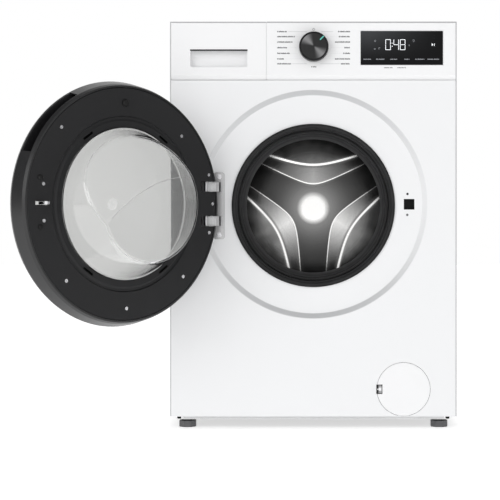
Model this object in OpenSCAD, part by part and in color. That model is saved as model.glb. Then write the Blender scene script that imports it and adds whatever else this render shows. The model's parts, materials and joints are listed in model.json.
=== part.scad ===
/* [Cabinet] */
// Cabinet width across the side panels, mm
cab_w = 595; // [592:1:600]
// Cabinet depth from the front sheet to the rear sheet, mm
cab_d = 600; // [596:1:606]
// Overall height with the feet at rest, mm
cab_h = 845; // [840:1:850]
// Steel sheet thickness of the body panels, mm
sheet_t = 1; // [0.8:0.1:1.2]
// Height of the control fascia, mm
fascia_h = 121.5; // [118:0.5:124]
// Radius of the vertical front edges, mm
edge_r = 4.5; // [3:0.5:6]
// Outer radius of the pressed ring around the porthole, mm
ring_r = 237; // [232:1:240]
// Depth of the recess inside the pressed ring, mm
ring_depth = 6; // [4:0.5:8]
// Height of the porthole axis above the floor, mm
axis_z = 463.5; // [460:0.5:466]

/* [Door] */
// Angle the door stands open at rest, degrees
door_open = 136; // [0:1:136]
// Distance of the hinge axis from the porthole axis, mm
hinge_x = 220; // [218:1:222]
// Distance of the hinge axis in front of the front sheet, mm
hinge_out = 38; // [37:1:42]
// Gap between the front sheet and the closed door ring, mm
door_gap = 11.5; // [11:0.5:14]
// Widest radius of the door rim, mm
rim_r = 238; // [236:1:239]
// Radius of the inner door ring, mm
ring_in_r = 224.5; // [222:0.5:226]
// Depth of the glass bowl behind the door ring, mm
bowl_depth = 88; // [80:1:92]

/* [Drum] */
// Inner radius of the drum, mm
drum_r = 239; // [234:1:241]
// Drum back plane behind the front sheet, mm
drum_back_at = 430; // [426:1:434]
// Radius of the large belt pulley, mm
pulley_r = 150; // [140:1:155]
// Radius of the motor pulley, mm
pinion_r = 12.5; // [11:0.5:14]

/* [Controls] */
// Width of the detergent drawer front, mm
drawer_w = 200; // [195:1:205]
// Radius of the programme knob, mm
knob_r = 30.5; // [29:0.5:32]
// Height of the programme knob centre, mm
knob_z = 791.5; // [788:0.5:794]
// Angle of the knob pointer from upright, degrees
knob_turn = 45; // [0:15:345]

/* [Filter and feet] */
// Radius of the round pump filter door, mm
flap_r = 55; // [50:1:57]
// Radius of the foot pads, mm
foot_r = 18.75; // [17:0.25:20]
// Sideways position of the feet, mm
foot_x = 264; // [258:1:266]

/* [Hidden] */
$fn = 72;
FY = -cab_d/2;
RY = cab_d/2;
HX = cab_w/2;
base_z = 26;
fz = cab_h - fascia_h;
seam_x = -HX + drawer_w;
ring_z = axis_z + 2.5;
hx = -hinge_x;
hy = FY - hinge_out;
dy = FY - door_gap;
hole_r = 165.5;
flap_x = 187;
flap_z = 82.5;
back_y = FY + drum_back_at;
tub_r = 262;
pulley_y = FY + 552;
motor_x = 96;
motor_z = 122;
belt_dx = motor_x;
belt_dz = motor_z - axis_z;
belt_d = sqrt(belt_dx*belt_dx + belt_dz*belt_dz);
belt_a = atan2(belt_dz, belt_dx);
lug_z = axis_z + 2.5;

// Rounded rectangle from corner to corner.
module rr(x0, y0, x1, y1, r) {
  translate([x0 + r, y0]) square([x1 - x0 - 2*r, y1 - y0]);
  translate([x0, y0 + r]) square([x1 - x0, y1 - y0 - 2*r]);
  for (x = [x0 + r, x1 - r], y = [y0 + r, y1 - r]) translate([x, y]) circle(r, $fn = 32);
}

// A flat shape drawn in x and z, given thickness from y0 to y1.
module slab(y0, y1) {
  translate([0, y1, 0]) rotate([90, 0, 0]) linear_extrude(y1 - y0) children();
}

// Round bar along y.
module ycyl(x, z, y0, y1, r, n = 72) {
  translate([x, y0, z]) rotate([-90, 0, 0]) cylinder(h = y1 - y0, r = r, $fn = n);
}

// Turned shape about an axis along y, points given as [radius, y].
module yrev(x, z, pts, n = 96) {
  translate([x, 0, z]) rotate([-90, 0, 0]) rotate_extrude($fn = n) polygon(pts);
}

// Upright round bar.
module zcyl(x, y, z0, z1, r, n = 48) {
  translate([x, y, z0]) cylinder(h = z1 - z0, r = r, $fn = n);
}

// Box from corner to corner.
module bx(x0, y0, z0, x1, y1, z1) {
  translate([x0, y0, z0]) cube([x1 - x0, y1 - y0, z1 - z0]);
}

// Countersunk cross-head screw along y, head face at y, shank going inward.
module screw(x, y, z, r, l) {
  difference() {
    union() {
      ycyl(x, z, y, y + 2, r, 32);
      ycyl(x, z, y + 1.9, y + l, r*0.45, 24);
    }
    bx(x - r*0.6, y - 1, z - 0.5, x + r*0.6, y + 1, z + 0.5);
    bx(x - 0.5, y - 1, z - r*0.6, x + 0.5, y + 1, z + r*0.6);
  }
}

// Side sheet with folded edges and a hook shelf for the suspension spring.
module side_sheet() {
  difference() {
    union() {
      bx(-HX, FY + 12.3, base_z, -HX + sheet_t, RY - 1.3, cab_h - 23);
      bx(-HX, FY + 12.3, base_z, -HX + 14, FY + 12.3 + sheet_t, cab_h - 23);
      bx(-HX, RY - 2.3, base_z, -HX + 14, RY - 1.3, cab_h - 23);
      bx(-HX, FY + 40, cab_h - 24, -HX + 12, RY - 1.3, cab_h - 23);
      bx(-HX, FY + 300, cab_h - 44, -HX + 60, FY + 340, cab_h - 42);
      bx(-HX, FY + 300, cab_h - 44, -HX + 12, FY + 340, cab_h - 23);
    }
    bx(-HX - 1, FY, fz - 0.6, -HX + 20, FY + 38.5, cab_h);
    zcyl(-HX + 50, FY + 320, cab_h - 50, cab_h - 40, 3, 24);
  }
}

module side_left() {
  color([0.93, 0.94, 0.95]) side_sheet();
}

module side_right() {
  color([0.93, 0.94, 0.95]) mirror([1, 0, 0]) side_sheet();
}

// Rear sheet with a pressed ring and the openings for the services.
module rear_panel() {
  color([0.8, 0.81, 0.82]) difference() {
    union() {
      bx(-HX, RY - 1, base_z, HX, RY, cab_h - 23);
      yrev(0, axis_z, [[206, RY - 5], [210, RY - 1], [180, RY - 1], [184, RY - 5]]);
    }
    ycyl(-150, 785, RY - 9, RY + 1, 15);
    ycyl(240, 700, RY - 9, RY + 1, 9.5, 48);
    ycyl(268, 80, RY - 9, RY + 1, 14, 48);
    for (x = [-130, 130], z = [300, 627]) ycyl(x, z, RY - 9, RY + 1, 8, 48);
    for (i = [0 : 7]) slab(RY - 9, RY + 1) rr(-260, 700 + i*9, -200, 704 + i*9, 1.9);
  }
}

// Front sheet: folded edges, recessed porthole disc, filter and latch openings.
module front_panel() {
  color([0.95, 0.95, 0.96]) difference() {
    union() {
      difference() {
        translate([0, 0, base_z]) linear_extrude(fz - 0.6 - base_z) difference() {
          intersection() {
            rr(-HX, FY, HX, FY + 40, edge_r);
            translate([-HX, FY]) square([2*HX, 12]);
          }
          rr(-HX + sheet_t, FY + sheet_t, HX - sheet_t, FY + 39, edge_r - sheet_t);
        }
        ycyl(0, ring_z, FY - 1, FY + 4, ring_r - 1, 144);
      }
      yrev(0, ring_z, [[ring_r, FY], [ring_r, FY + sheet_t], [ring_r - 10, FY + ring_depth + sheet_t],
        [0, FY + ring_depth + sheet_t], [0, FY + ring_depth], [ring_r - 11, FY + ring_depth],
        [ring_r - 1, FY]], 144);
      ycyl(0, axis_z, FY + ring_depth, FY + ring_depth + 10, hole_r + 1, 144);
    }
    ycyl(0, axis_z, FY - 1, FY + ring_depth + 11, hole_r, 144);
    bx(187.9, FY, ring_z - 11, 209.9, FY + 12, ring_z + 11);
    ycyl(195.6, 487.5, FY, FY + 12, 2.5, 24);
    ycyl(195, 444, FY, FY + 12, 2.2, 24);
    ycyl(flap_x, flap_z, FY - 1, FY + 3, flap_r + 0.8, 96);
    for (z = [-60.3, 60.3]) ycyl(-195.6, axis_z - 0.7 + z, FY, FY + 12, 2.6, 24);
  }
}

// Worktop with an eased upper edge and a hollow underside.
module top_panel() {
  color([0.96, 0.96, 0.96]) difference() {
    union() {
      translate([0, 0, cab_h - 22.5]) linear_extrude(21) rr(-HX, FY + 38.2, HX, RY, 6);
      translate([0, 0, cab_h - 1.5]) linear_extrude(1.5) rr(-HX + 1.2, FY + 39.4, HX - 1.2, RY - 1.2, 5);
    }
    bx(-HX + 14, FY + 52, cab_h - 23, HX - 14, RY - 14, cab_h - 16);
  }
}

// Moulded base with ribs and threaded bosses for the four feet.
module base_tray() {
  color([0.35, 0.36, 0.38]) difference() {
    union() {
      difference() {
        bx(-HX + 2, FY + 14, base_z + 0.5, HX - 2, RY - 3, base_z + 30);
        bx(-HX + 5, FY + 17, base_z + 3.5, HX - 5, RY - 6, base_z + 31);
      }
      for (x = [-foot_x, foot_x], y = [FY + 45, RY - 45]) zcyl(x, y, base_z + 1, base_z + 26, 15);
      for (y = [FY + 200, FY + 300, FY + 520]) bx(-HX + 4, y, base_z + 3, HX - 4, y + 3, base_z + 10);
      for (s = [-1, 1], y = [FY + 215, FY + 400])
        bx(s*236 - 8, y - 9, base_z + 3, s*236 + 8, y + 9, base_z + 6);
    }
    for (x = [-foot_x, foot_x], y = [FY + 45, RY - 45]) zcyl(x, y, base_z - 1, base_z + 27, 5.06);
    bx(flap_x - 49, FY + 13, base_z + 6, flap_x + 49, FY + 18, base_z + 31);
  }
}

// Recessed skirting strip under the front edge.
module plinth_strip() {
  color([0.62, 0.63, 0.64]) {
    bx(-272, FY + 15, 18.5, 272, FY + 18, base_z + 0.5);
    for (x = [-220, -110, 0, 110, 220]) bx(x - 1.5, FY + 17.9, 18.5, x + 1.5, FY + 26, base_z + 0.5);
  }
}

// Two rubber plugs under the front corners.
module corner_plugs() {
  color([0.12, 0.12, 0.13]) for (x = [-280, 280]) translate([x, FY + 21, 0]) rotate_extrude($fn = 32)
    polygon([[0, 19], [3.2, 19], [4.25, 20.2], [4.25, 24], [3.4, base_z + 0.5], [0, base_z + 0.5]]);
}

// Side profile shared by the fascia and the drawer front.
module fascia_block(x0, x1, d, z0, z1) {
  translate([x0, 0, 0]) rotate([90, 0, 90]) linear_extrude(x1 - x0) polygon([[FY + 3, z0], [FY, z0 + 10],
    [FY, z1 - 3], [FY + 3, z1], [FY + d, z1], [FY + d, z0]]);
}

// Fascia shell with the frame the detergent drawer slides through.
module fascia() {
  color([0.97, 0.97, 0.98]) difference() {
    intersection() {
      union() {
        fascia_block(seam_x + 0.4, HX, 38, fz, cab_h);
        bx(-HX, FY + 26, fz, seam_x + 1, FY + 38, cab_h);
      }
      translate([0, 0, fz - 1]) linear_extrude(fascia_h + 2) rr(-HX, FY, HX, FY + 60, edge_r);
    }
    bx(seam_x + 2.9, FY + 2.5, fz + 10, HX - 2.5, FY + 40, cab_h - 3.5);
    bx(seam_x + 2.9, FY + 6, fz + 2.5, HX - 2.5, FY + 40, fz + 11);
    bx(-283.5, FY + 20, 741.5, -111.5, FY + 40, 814.5);
    bx(-HX + 2.5, FY + 28.5, fz + 2.5, -286, FY + 40, cab_h - 3.5);
    slab(FY - 1, FY + 4) rr(97.8, 754.5, 268.9, 825.4, 2);
    ycyl(1, knob_z, FY - 1, FY + 4, 8, 48);
  }
}

// Dark glass of the display with a mounting flange behind the skin.
module display_window() {
  color([0.03, 0.03, 0.04]) {
    slab(FY - 0.2, FY + 2.7) rr(98.1, 754.8, 268.6, 825.1, 1.8);
    slab(FY + 2.6, FY + 4.2) rr(94.5, 751.5, 272.2, 828.7, 2);
  }
}

// Display electronics with the rotary switch of the knob.
module display_board() {
  color([0.1, 0.35, 0.2]) difference() {
    union() {
      bx(-70, FY + 14, 738, 286, FY + 15.6, 836);
      bx(104, FY + 5.4, 760, 262, FY + 14.1, 820);
      bx(-11, FY + 6, knob_z - 12, 13, FY + 14.1, knob_z + 12);
      bx(30, FY + 15.5, 750, 80, FY + 28, 770);
      for (i = [0 : 5]) ycyl(200 + i*12, 745, FY + 15.5, FY + 26, 4, 24);
    }
    ycyl(1, knob_z, FY + 4, FY + 20, 3.06, 48);
  }
}

// Open-fronted housing of the detergent drawer with its outlet to the tub.
module drawer_housing() {
  color([0.75, 0.76, 0.78]) difference() {
    union() {
      bx(-286, FY + 38, 739, -109, FY + 292, 817);
      zcyl(-200, FY + 255, 705, 740, 16);
      bx(-175, FY + 291, 765, -125, FY + 312, 800);
    }
    bx(-283.5, FY + 37, 741.5, -111.5, FY + 289.5, 814.5);
    zcyl(-200, FY + 255, 704, 742, 13);
    ycyl(-150, 785, FY + 280, FY + 313, 9, 48);
  }
}

// Solenoid water valve with its threaded spigot through the rear sheet.
module inlet_valve() {
  color([0.85, 0.85, 0.83]) difference() {
    union() {
      bx(-175, RY - 62, 765, -125, RY - 18, 805);
      ycyl(-150, 785, RY - 18.1, RY + 15, 12.2);
      for (i = [0 : 4]) ycyl(-150, 785, RY + 2 + i*2.6, RY + 3.2 + i*2.6, 13.2);
      ycyl(-150, 785, RY - 6, RY - 1.2, 21);
      ycyl(-150, 785, RY - 84, RY - 61.9, 8, 48);
      bx(-172, RY - 58, 804.9, -150, RY - 34, 817);
    }
    ycyl(-150, 785, RY - 15, RY + 16, 9.5);
    ycyl(-150, 785, RY - 85, RY - 40, 5.5, 48);
  }
}

// Power electronics in a ribbed plastic case.
module control_board() {
  color([0.3, 0.31, 0.33]) {
    difference() {
      bx(150, FY + 390, 768, 282, FY + 560, 812);
      bx(152.5, FY + 392.5, 770.5, 279.5, FY + 557.5, 813);
    }
    bx(152.5, FY + 392.5, 776, 279.5, FY + 557.5, 777.6);
    for (i = [0 : 6]) bx(170 + i*8, FY + 410, 777.5, 172 + i*8, FY + 470, 800);
    for (x = [180, 205, 230]) zcyl(x, FY + 520, 777.5, 803, 9, 32);
  }
}

// Inlet gland for the supply lead.
module cable_gland() {
  color([0.1, 0.1, 0.11]) yrev(240, 700, [[4.2, RY + 9], [8, RY + 9], [13, RY + 4], [13, RY + 0.1],
    [9.3, RY + 0.1], [9.3, RY - 1.4], [12, RY - 1.4], [12, RY - 4], [8, RY - 14], [4.2, RY - 14]], 48);
}

// Latch block behind the front sheet, open to the door hook.
module door_lock() {
  color([0.15, 0.15, 0.16]) difference() {
    bx(180, FY + 7.2, 438, 222, FY + 36, 494);
    bx(186.5, FY + 7, ring_z - 11.4, 213, FY + 32, ring_z + 11.4);
    ycyl(195, 444, FY + 7, FY + 24, 2.1, 24);
    bx(216, FY + 12, 445, 223, FY + 30, 485);
  }
}

// Steel hinge plate on the body with two bent lugs that carry the pin.
module hinge_bracket() {
  color([0.7, 0.71, 0.72]) difference() {
    union() {
      slab(FY + 3, FY + 6) rr(-207.7, axis_z - 70, -183.5, axis_z + 68.6, 6);
      for (z = [lug_z - 44.5, lug_z + 25.5]) translate([0, 0, z]) linear_extrude(19) union() {
        polygon([[hx, hy - 2.4], [-199, hy - 2.4], [-193, hy + 2], [-190, hy + 8], [-188.5, FY + 3.2],
          [-193, FY + 3.2], [-194.4, hy + 9], [-197, hy + 4], [-200, hy + 2], [hx, hy + 2]]);
        translate([hx, hy]) circle(5.5, $fn = 48);
      }
    }
    for (z = [lug_z - 44.5, lug_z + 25.5]) zcyl(hx, hy, z - 1, z + 20, 2.55);
    for (z = [-60.3, 60.3]) {
      ycyl(-195.6, axis_z - 0.7 + z, FY + 2, FY + 5.2, 5.6, 32);
      ycyl(-195.6, axis_z - 0.7 + z, FY + 2, FY + 7, 2.6, 24);
    }
  }
}

// The two screws that hold the hinge plate.
module hinge_screws() {
  color([0.62, 0.63, 0.64]) for (z = [-60.3, 60.3]) screw(-195.6, FY + 3.1, axis_z - 0.7 + z, 5.4, 14);
}

// Long steel pin through the lugs and the door knuckles.
module hinge_pin() {
  color([0.75, 0.75, 0.77]) translate([hx, hy, 0]) rotate_extrude($fn = 32)
    polygon([[0, lug_z - 56], [4, lug_z - 56], [4, lug_z - 54], [2.5, lug_z - 54], [2.5, lug_z + 55],
      [1.8, lug_z + 56], [0, lug_z + 56]]);
}

// Rubber bellows between the front sheet and the tub.
module gasket() {
  color([0.28, 0.29, 0.3]) yrev(0, axis_z, [[169.5, FY + 2], [162.5, FY + 2], [160, FY + 8],
    [161, FY + 14], [157.2, FY + 19], [155.5, FY + 24], [157, FY + 33], [150, FY + 38],
    [147, FY + 54], [141.5, FY + 78], [141.5, FY + 82], [144, FY + 82], [149.6, FY + 58],
    [149.6, FY + 57.6], [153.3, FY + 57.6], [153.3, FY + 70], [157, FY + 70], [157, FY + 52],
    [160.5, FY + 40], [160.5, FY + 24], [164.2, FY + 19.5], [165.1, FY + 17], [165.1, FY + 5.9],
    [169.5, FY + 5.9]], 144);
}

// Two close-wound suspension springs with end hooks.
module springs() {
  color([0.5, 0.51, 0.53]) for (s = [-1, 1]) translate([s*(HX - 50), FY + 320, 0]) {
    translate([0, 0, 690]) rotate_extrude($fn = 32)
      polygon(concat([[6.2, 0]], [for (i = [0 : 18]) for (k = [0, 1]) [k == 0 ? 10.6 : 9.6, i*4 + k*2]],
        [[6.2, 74]]));
    zcyl(0, 0, 762, 806, 2, 24);
    zcyl(0, 0, 646, 692, 2, 24);
    translate([0, 0, 764]) rotate([0, 90, 0]) translate([0, 0, -8]) cylinder(h = 16, r = 2, $fn = 24);
    translate([0, 0, 691]) rotate([0, 90, 0]) translate([0, 0, -8]) cylinder(h = 16, r = 2, $fn = 24);
    zcyl(0, 0, 804, 807, 5, 24);
    zcyl(0, 0, 644, 647, 5, 24);
  }
}

// Four friction dampers between the tub and the base.
module dampers() {
  color([0.22, 0.22, 0.24]) for (s = [-1, 1], y = [FY + 215, FY + 400])
    translate([s*236, y, 46]) rotate([0, -s*23, 0]) {
      zcyl(0, 0, 8, 120, 12, 32);
      zcyl(0, 0, 118, 190, 5, 24);
      zcyl(0, 0, -8, 9, 8, 24);
      translate([0, -7, 0]) ycyl(0, 0, 0, 14, 10, 32);
      translate([0, -7, 196]) ycyl(0, 0, 0, 14, 9, 32);
    }
}

// Ear on the tub that a damper is pinned to.
module damper_lug(s, y) {
  slab(y, y + 8) polygon([[s*120, 222], [s*178, 222], [s*178, 268], [s*120, 232]]);
}

// Front half of the plastic tub with its collar for the bellows.
module tub_front() {
  color([0.8, 0.81, 0.82]) difference() {
    union() {
      yrev(0, axis_z, [[150, FY + 58], [153, FY + 58], [153, FY + 72], [tub_r - 6, FY + 72],
        [tub_r + 3, FY + 80], [tub_r + 3, FY + 252], [tub_r + 9, FY + 252], [tub_r + 9, FY + 260],
        [tub_r, FY + 260], [tub_r, FY + 82], [tub_r - 7, FY + 76], [150, FY + 76]], 144);
      for (a = [0 : 30 : 330]) translate([0, 0, axis_z]) rotate([0, a, 0])
        bx(tub_r + 2, FY + 90, -1.5, tub_r + 8, FY + 253, 1.5);
      for (s = [-1, 1], y = [FY + 199.5, FY + 222.5]) damper_lug(s, y);
    }
    ycyl(0, axis_z, FY + 190, FY + 240, tub_r, 144);
    bx(-HX + 4, FY + 86, 300, -266, FY + 250, 640);
    bx(266, FY + 86, 300, HX - 4, FY + 250, 640);
  }
}

// Rear half of the tub with the bearing hub, ribs and heater sump.
module tub_rear() {
  color([0.76, 0.77, 0.78]) difference() {
    union() {
      yrev(0, axis_z, [[tub_r, FY + 260.3], [tub_r + 9, FY + 260.3], [tub_r + 9, FY + 268],
        [tub_r + 3, FY + 268], [tub_r + 3, FY + 471], [50, FY + 471], [50, FY + 533],
        [31.05, FY + 533], [31.05, FY + 465], [tub_r, FY + 465]], 144);
      for (a = [0 : 30 : 330]) translate([0, 0, axis_z]) rotate([0, a + 15, 0]) bx(48, FY + 470,
        -2, 255, FY + 500, 2);
      intersection() {
        bx(-112, FY + 300, axis_z - 292, 22, FY + 440, axis_z - 200);
        difference() {
          bx(-112, FY + 300, axis_z - 292, 22, FY + 440, axis_z - 200);
          ycyl(0, axis_z, FY + 290, FY + 450, tub_r + 1, 144);
        }
      }
      zcyl(-60, FY + 330, axis_z - 318, axis_z - 290, 18);
      for (s = [-1, 1]) slab(FY + 312, FY + 328) polygon([[s*180, 640], [s*(HX - 42), 650],
        [s*(HX - 42), 656], [s*170, 668]]);
      for (s = [-1, 1], y = [FY + 384.5, FY + 407.5]) damper_lug(s, y);
    }
    bx(-108, FY + 304, axis_z - 288, 18, FY + 436, axis_z - 235);
    ycyl(0, axis_z, FY + 300, FY + 440, tub_r, 144);
    zcyl(-60, FY + 330, axis_z - 320, axis_z - 280, 15);
    for (x = [-80, -20]) ycyl(x, axis_z - 277, FY + 430, FY + 450, 4.4, 32);
    for (s = [-1, 1]) zcyl(s*(HX - 50), FY + 320, 640, 660, 3, 24);
    bx(-HX, FY + 300, 300, -268, FY + 480, 600);
    bx(268, FY + 300, 300, HX, FY + 480, 600);
  }
}

// Concrete ring clamped round the tub mouth, in two halves.
module weight_front() {
  color([0.55, 0.55, 0.54]) difference() {
    yrev(0, axis_z, [[188, FY + 44], [192, FY + 40], [244, FY + 40], [250, FY + 46], [250, FY + 71],
      [188, FY + 71]], 96);
    bx(-30, FY + 38, axis_z + 180, 30, FY + 73, axis_z + 260);
    bx(-30, FY + 38, axis_z - 260, 30, FY + 73, axis_z - 180);
    for (a = [35, 145, 215, 325]) translate([0, 0, axis_z]) rotate([0, a, 0]) ycyl(220, 0, FY + 39,
      FY + 50, 9, 32);
  }
}

// Cast concrete saddle bolted on top of the tub.
module weight_top() {
  color([0.55, 0.55, 0.54]) difference() {
    translate([0, FY + 276, 0]) slab(0, 150) polygon([[-90, 650], [-96, 700], [-84, 766], [96, 766],
      [130, 740],
      [134, 650]]);
    ycyl(0, axis_z, FY + 270, FY + 430, tub_r + 3.2, 144);
    for (x = [-60, 80]) zcyl(x, FY + 350, 730, 790, 10, 32);
  }
}

// Looped tubular heating element with its sealing flange.
module heater() {
  color([0.45, 0.45, 0.47]) {
    for (x = [-80, -20]) ycyl(x, axis_z - 277, FY + 320, FY + 462, 3.8, 32);
    for (x = [-80, -20]) translate([x, FY + 320, axis_z - 277]) sphere(3.8, $fn = 32);
    translate([-80, FY + 320, axis_z - 277]) rotate([0, 90, 0]) cylinder(h = 60, r = 3.8, $fn = 32);
    slab(FY + 440.2, FY + 444) rr(-92, axis_z - 288, -8, axis_z - 266, 5);
    for (x = [-80, -20]) bx(x - 3, FY + 461, axis_z - 277.8, x + 3, FY + 474, axis_z - 276.2);
  }
}

// Two ball bearings in the tub hub.
module bearings() {
  color([0.6, 0.61, 0.63]) for (y = [FY + 474, FY + 515]) {
    yrev(0, axis_z, [[15.05, y], [19.5, y], [19.5, y + 16], [15.05, y + 16]]);
    yrev(0, axis_z, [[26.5, y], [31, y], [31, y + 16], [26.5, y + 16]]);
    yrev(0, axis_z, [[19.4, y + 1], [26.6, y + 1], [26.6, y + 2], [19.4, y + 2]]);
    yrev(0, axis_z, [[19.4, y + 14], [26.6, y + 14], [26.6, y + 15], [19.4, y + 15]]);
  }
}

// Drive motor with end bells, fins and its brackets to the tub.
module motor() {
  color([0.3, 0.3, 0.32]) difference() {
    union() {
      ycyl(motor_x, motor_z, FY + 396, FY + 506, 56);
      ycyl(motor_x, motor_z, FY + 384, FY + 520, 44);
      for (a = [0 : 20 : 340]) translate([motor_x, 0, motor_z]) rotate([0, a, 0])
        bx(50, FY + 404, -1.2, 59, FY + 498, 1.2);
      for (y = [FY + 410, FY + 480]) slab(y, y + 8) polygon([[motor_x - 34, motor_z + 40],
        [motor_x + 18, motor_z + 40], [motor_x + 18, 260], [motor_x - 34, 260]]);
    }
    ycyl(motor_x, motor_z, FY + 470, FY + 530, 6.05, 48);
    ycyl(motor_x, motor_z, FY + 474, FY + 512, 16, 48);
    ycyl(0, axis_z, FY + 380, FY + 510, tub_r + 3.3, 144);
    for (a = [0 : 60 : 300]) translate([motor_x, 0, motor_z]) rotate([0, a, 0]) ycyl(32, 0, FY + 512,
      FY + 525, 5, 24);
  }
}

// Flat outline of the belt path at a given distance off the pulleys.
module belt_path(g) {
  phi = acos((pulley_r - pinion_r) / belt_d);
  a = [for (s = [-1, 1]) [(pulley_r + g)*cos(belt_a + s*phi), (pulley_r + g)*sin(belt_a + s*phi)]];
  b = [for (s = [-1, 1]) [belt_dx + (pinion_r + g)*cos(belt_a + s*phi), belt_dz +
    (pinion_r + g)*sin(belt_a + s*phi)]];
  circle(pulley_r + g, $fn = 144);
  translate([belt_dx, belt_dz]) circle(pinion_r + g, $fn = 48);
  polygon([a[0], a[1], b[1], b[0]]);
  polygon([[0, 0], a[0], b[0], [belt_dx, belt_dz], b[1], a[1]]);
}

// Ribbed drive belt.
module belt() {
  color([0.08, 0.08, 0.08]) translate([0, 0, axis_z]) difference() {
    slab(FY + 549, FY + 558) belt_path(3.6);
    slab(FY + 548, FY + 559) belt_path(0.4);
  }
}

// Drain pump with the filter housing behind the small front door.
module pump_body() {
  color([0.72, 0.73, 0.74]) difference() {
    union() {
      ycyl(flap_x, flap_z, FY + 9, FY + 108, 41);
      ycyl(flap_x, flap_z, FY + 9, FY + 13, 47);
      ycyl(flap_x, flap_z, FY + 107, FY + 136, 32);
      ycyl(flap_x, flap_z, FY + 135.9, FY + 182, 27);
      bx(flap_x - 60, FY + 60, flap_z - 16, flap_x - 34, FY + 92, flap_z + 16);
      ycyl(268, 80, FY + 118, FY + 182, 10.5, 48);
      bx(flap_x + 20, FY + 114, 72, 268, FY + 130, 88);
      bx(flap_x - 30, FY + 20, base_z + 3.6, flap_x + 30, FY + 100, flap_z - 36);
    }
    ycyl(flap_x, flap_z, FY + 8, FY + 105, 37.5);
    ycyl(flap_x, flap_z, FY + 100, FY + 132, 28);
    ycyl(flap_x, flap_z, FY + 130, FY + 170, 3.06, 32);
    ycyl(268, 80, FY + 121, FY + 183, 7.5, 48);
    bx(flap_x + 20, FY + 117, 75, 268, FY + 127, 85);
    translate([flap_x - 61, FY + 76, flap_z]) rotate([0, 90, 0]) cylinder(h = 30, r = 12, $fn = 48);
  }
}

// Corrugated hose from the sump to the pump.
module sump_hose() {
  color([0.1, 0.1, 0.11]) difference() {
    union() {
      zcyl(-60, FY + 330, flap_z, axis_z - 318.2, 17);
      translate([-60, FY + 330, flap_z]) sphere(17, $fn = 48);
      ycyl(-60, flap_z, FY + 76, FY + 330, 17, 48);
      translate([-60, FY + 76, flap_z]) sphere(17, $fn = 48);
      translate([-60, FY + 76, flap_z]) rotate([0, 90, 0]) cylinder(h = flap_x - 0.3, r = 15.5, $fn = 48);
      for (i = [0 : 11]) ycyl(-60, flap_z, FY + 100 + i*18, FY + 108 + i*18, 19.5, 48);
      for (i = [0 : 6]) translate([-40 + i*20, FY + 76, flap_z]) rotate([0, 90, 0])
        cylinder(h = 9, r = 18.5, $fn = 48);
    }
    zcyl(-60, FY + 330, flap_z, axis_z - 317, 13);
    translate([-60, FY + 330, flap_z]) sphere(13, $fn = 48);
    ycyl(-60, flap_z, FY + 76, FY + 330, 13, 48);
    translate([-60, FY + 76, flap_z]) sphere(13, $fn = 48);
    translate([-60, FY + 76, flap_z]) rotate([0, 90, 0]) cylinder(h = 200, r = 12, $fn = 48);
  }
}

// Outlet pipe from the pump to the spigot at the rear.
module drain_hose() {
  color([0.16, 0.16, 0.17]) difference() {
    union() {
      ycyl(268, 80, FY + 182.2, RY + 26, 10.5, 48);
      for (i = [0 : 3]) ycyl(268, 80, RY + 6 + i*5, RY + 8.5 + i*5, 11.8, 48);
      ycyl(268, 80, RY - 5, RY - 2.6, 14.5, 48);
      ycyl(268, 80, FY + 182.2, FY + 196, 13, 48);
    }
    ycyl(268, 80, FY + 182, RY + 27, 7.5, 48);
  }
}

// Four plugs that close the transport bolt holes.
module transit_caps() {
  color([0.85, 0.85, 0.86]) for (x = [-130, 130], z = [300, 627])
    yrev(x, z, [[0, RY - 8], [6.4, RY - 8], [7.7, RY - 3], [7.7, RY + 0.1], [13, RY + 0.1], [13, RY + 1.4],
      [11, RY + 2.6], [0, RY + 2.6]], 48);
}

// Swings the closed door about its hinge axis to where it stands open.
module door_pose() {
  translate([hx, hy, 0]) rotate([0, 0, -door_open]) translate([-hx, -hy, 0]) children();
}

// Screw positions on the inner door ring, sideways and upward of its centre.
function door_screw_at() = [[149.3, 141.5], [138.5, -144.4], [-135.6, 136.6], [-139.5, -143.4],
  [0, -201.4], [-216, 2.5], [188.6, 35.4], [187.6, -32.4], [-206.3, 61], [-207.3, -56]];

// Space swept by the two body lugs as the door turns round them.
module lug_pockets() {
  for (s = [-1, 1]) bx(hx - 25, hy - 7, lug_z + s*35 - 10.5, hx + 34, dy + 1, lug_z + s*35 + 10.5);
}

// Space round the pin and the door knuckles.
module knuckle_space() {
  bx(hx - 7, hy - 14, lug_z - 58, hx + 7, dy - 2.9, lug_z + 58);
}

// Wedge of the door circle between two angles, seen from the front.
module wedge(a0, a1, r, y0, y1) {
  translate([0, 0, axis_z]) slab(y0, y1) polygon(concat([[0, 0]],
    [for (i = [0 : 4]) [r*cos(a0 + (a1 - a0)*i/4), r*sin(a0 + (a1 - a0)*i/4)]]));
}

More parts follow.
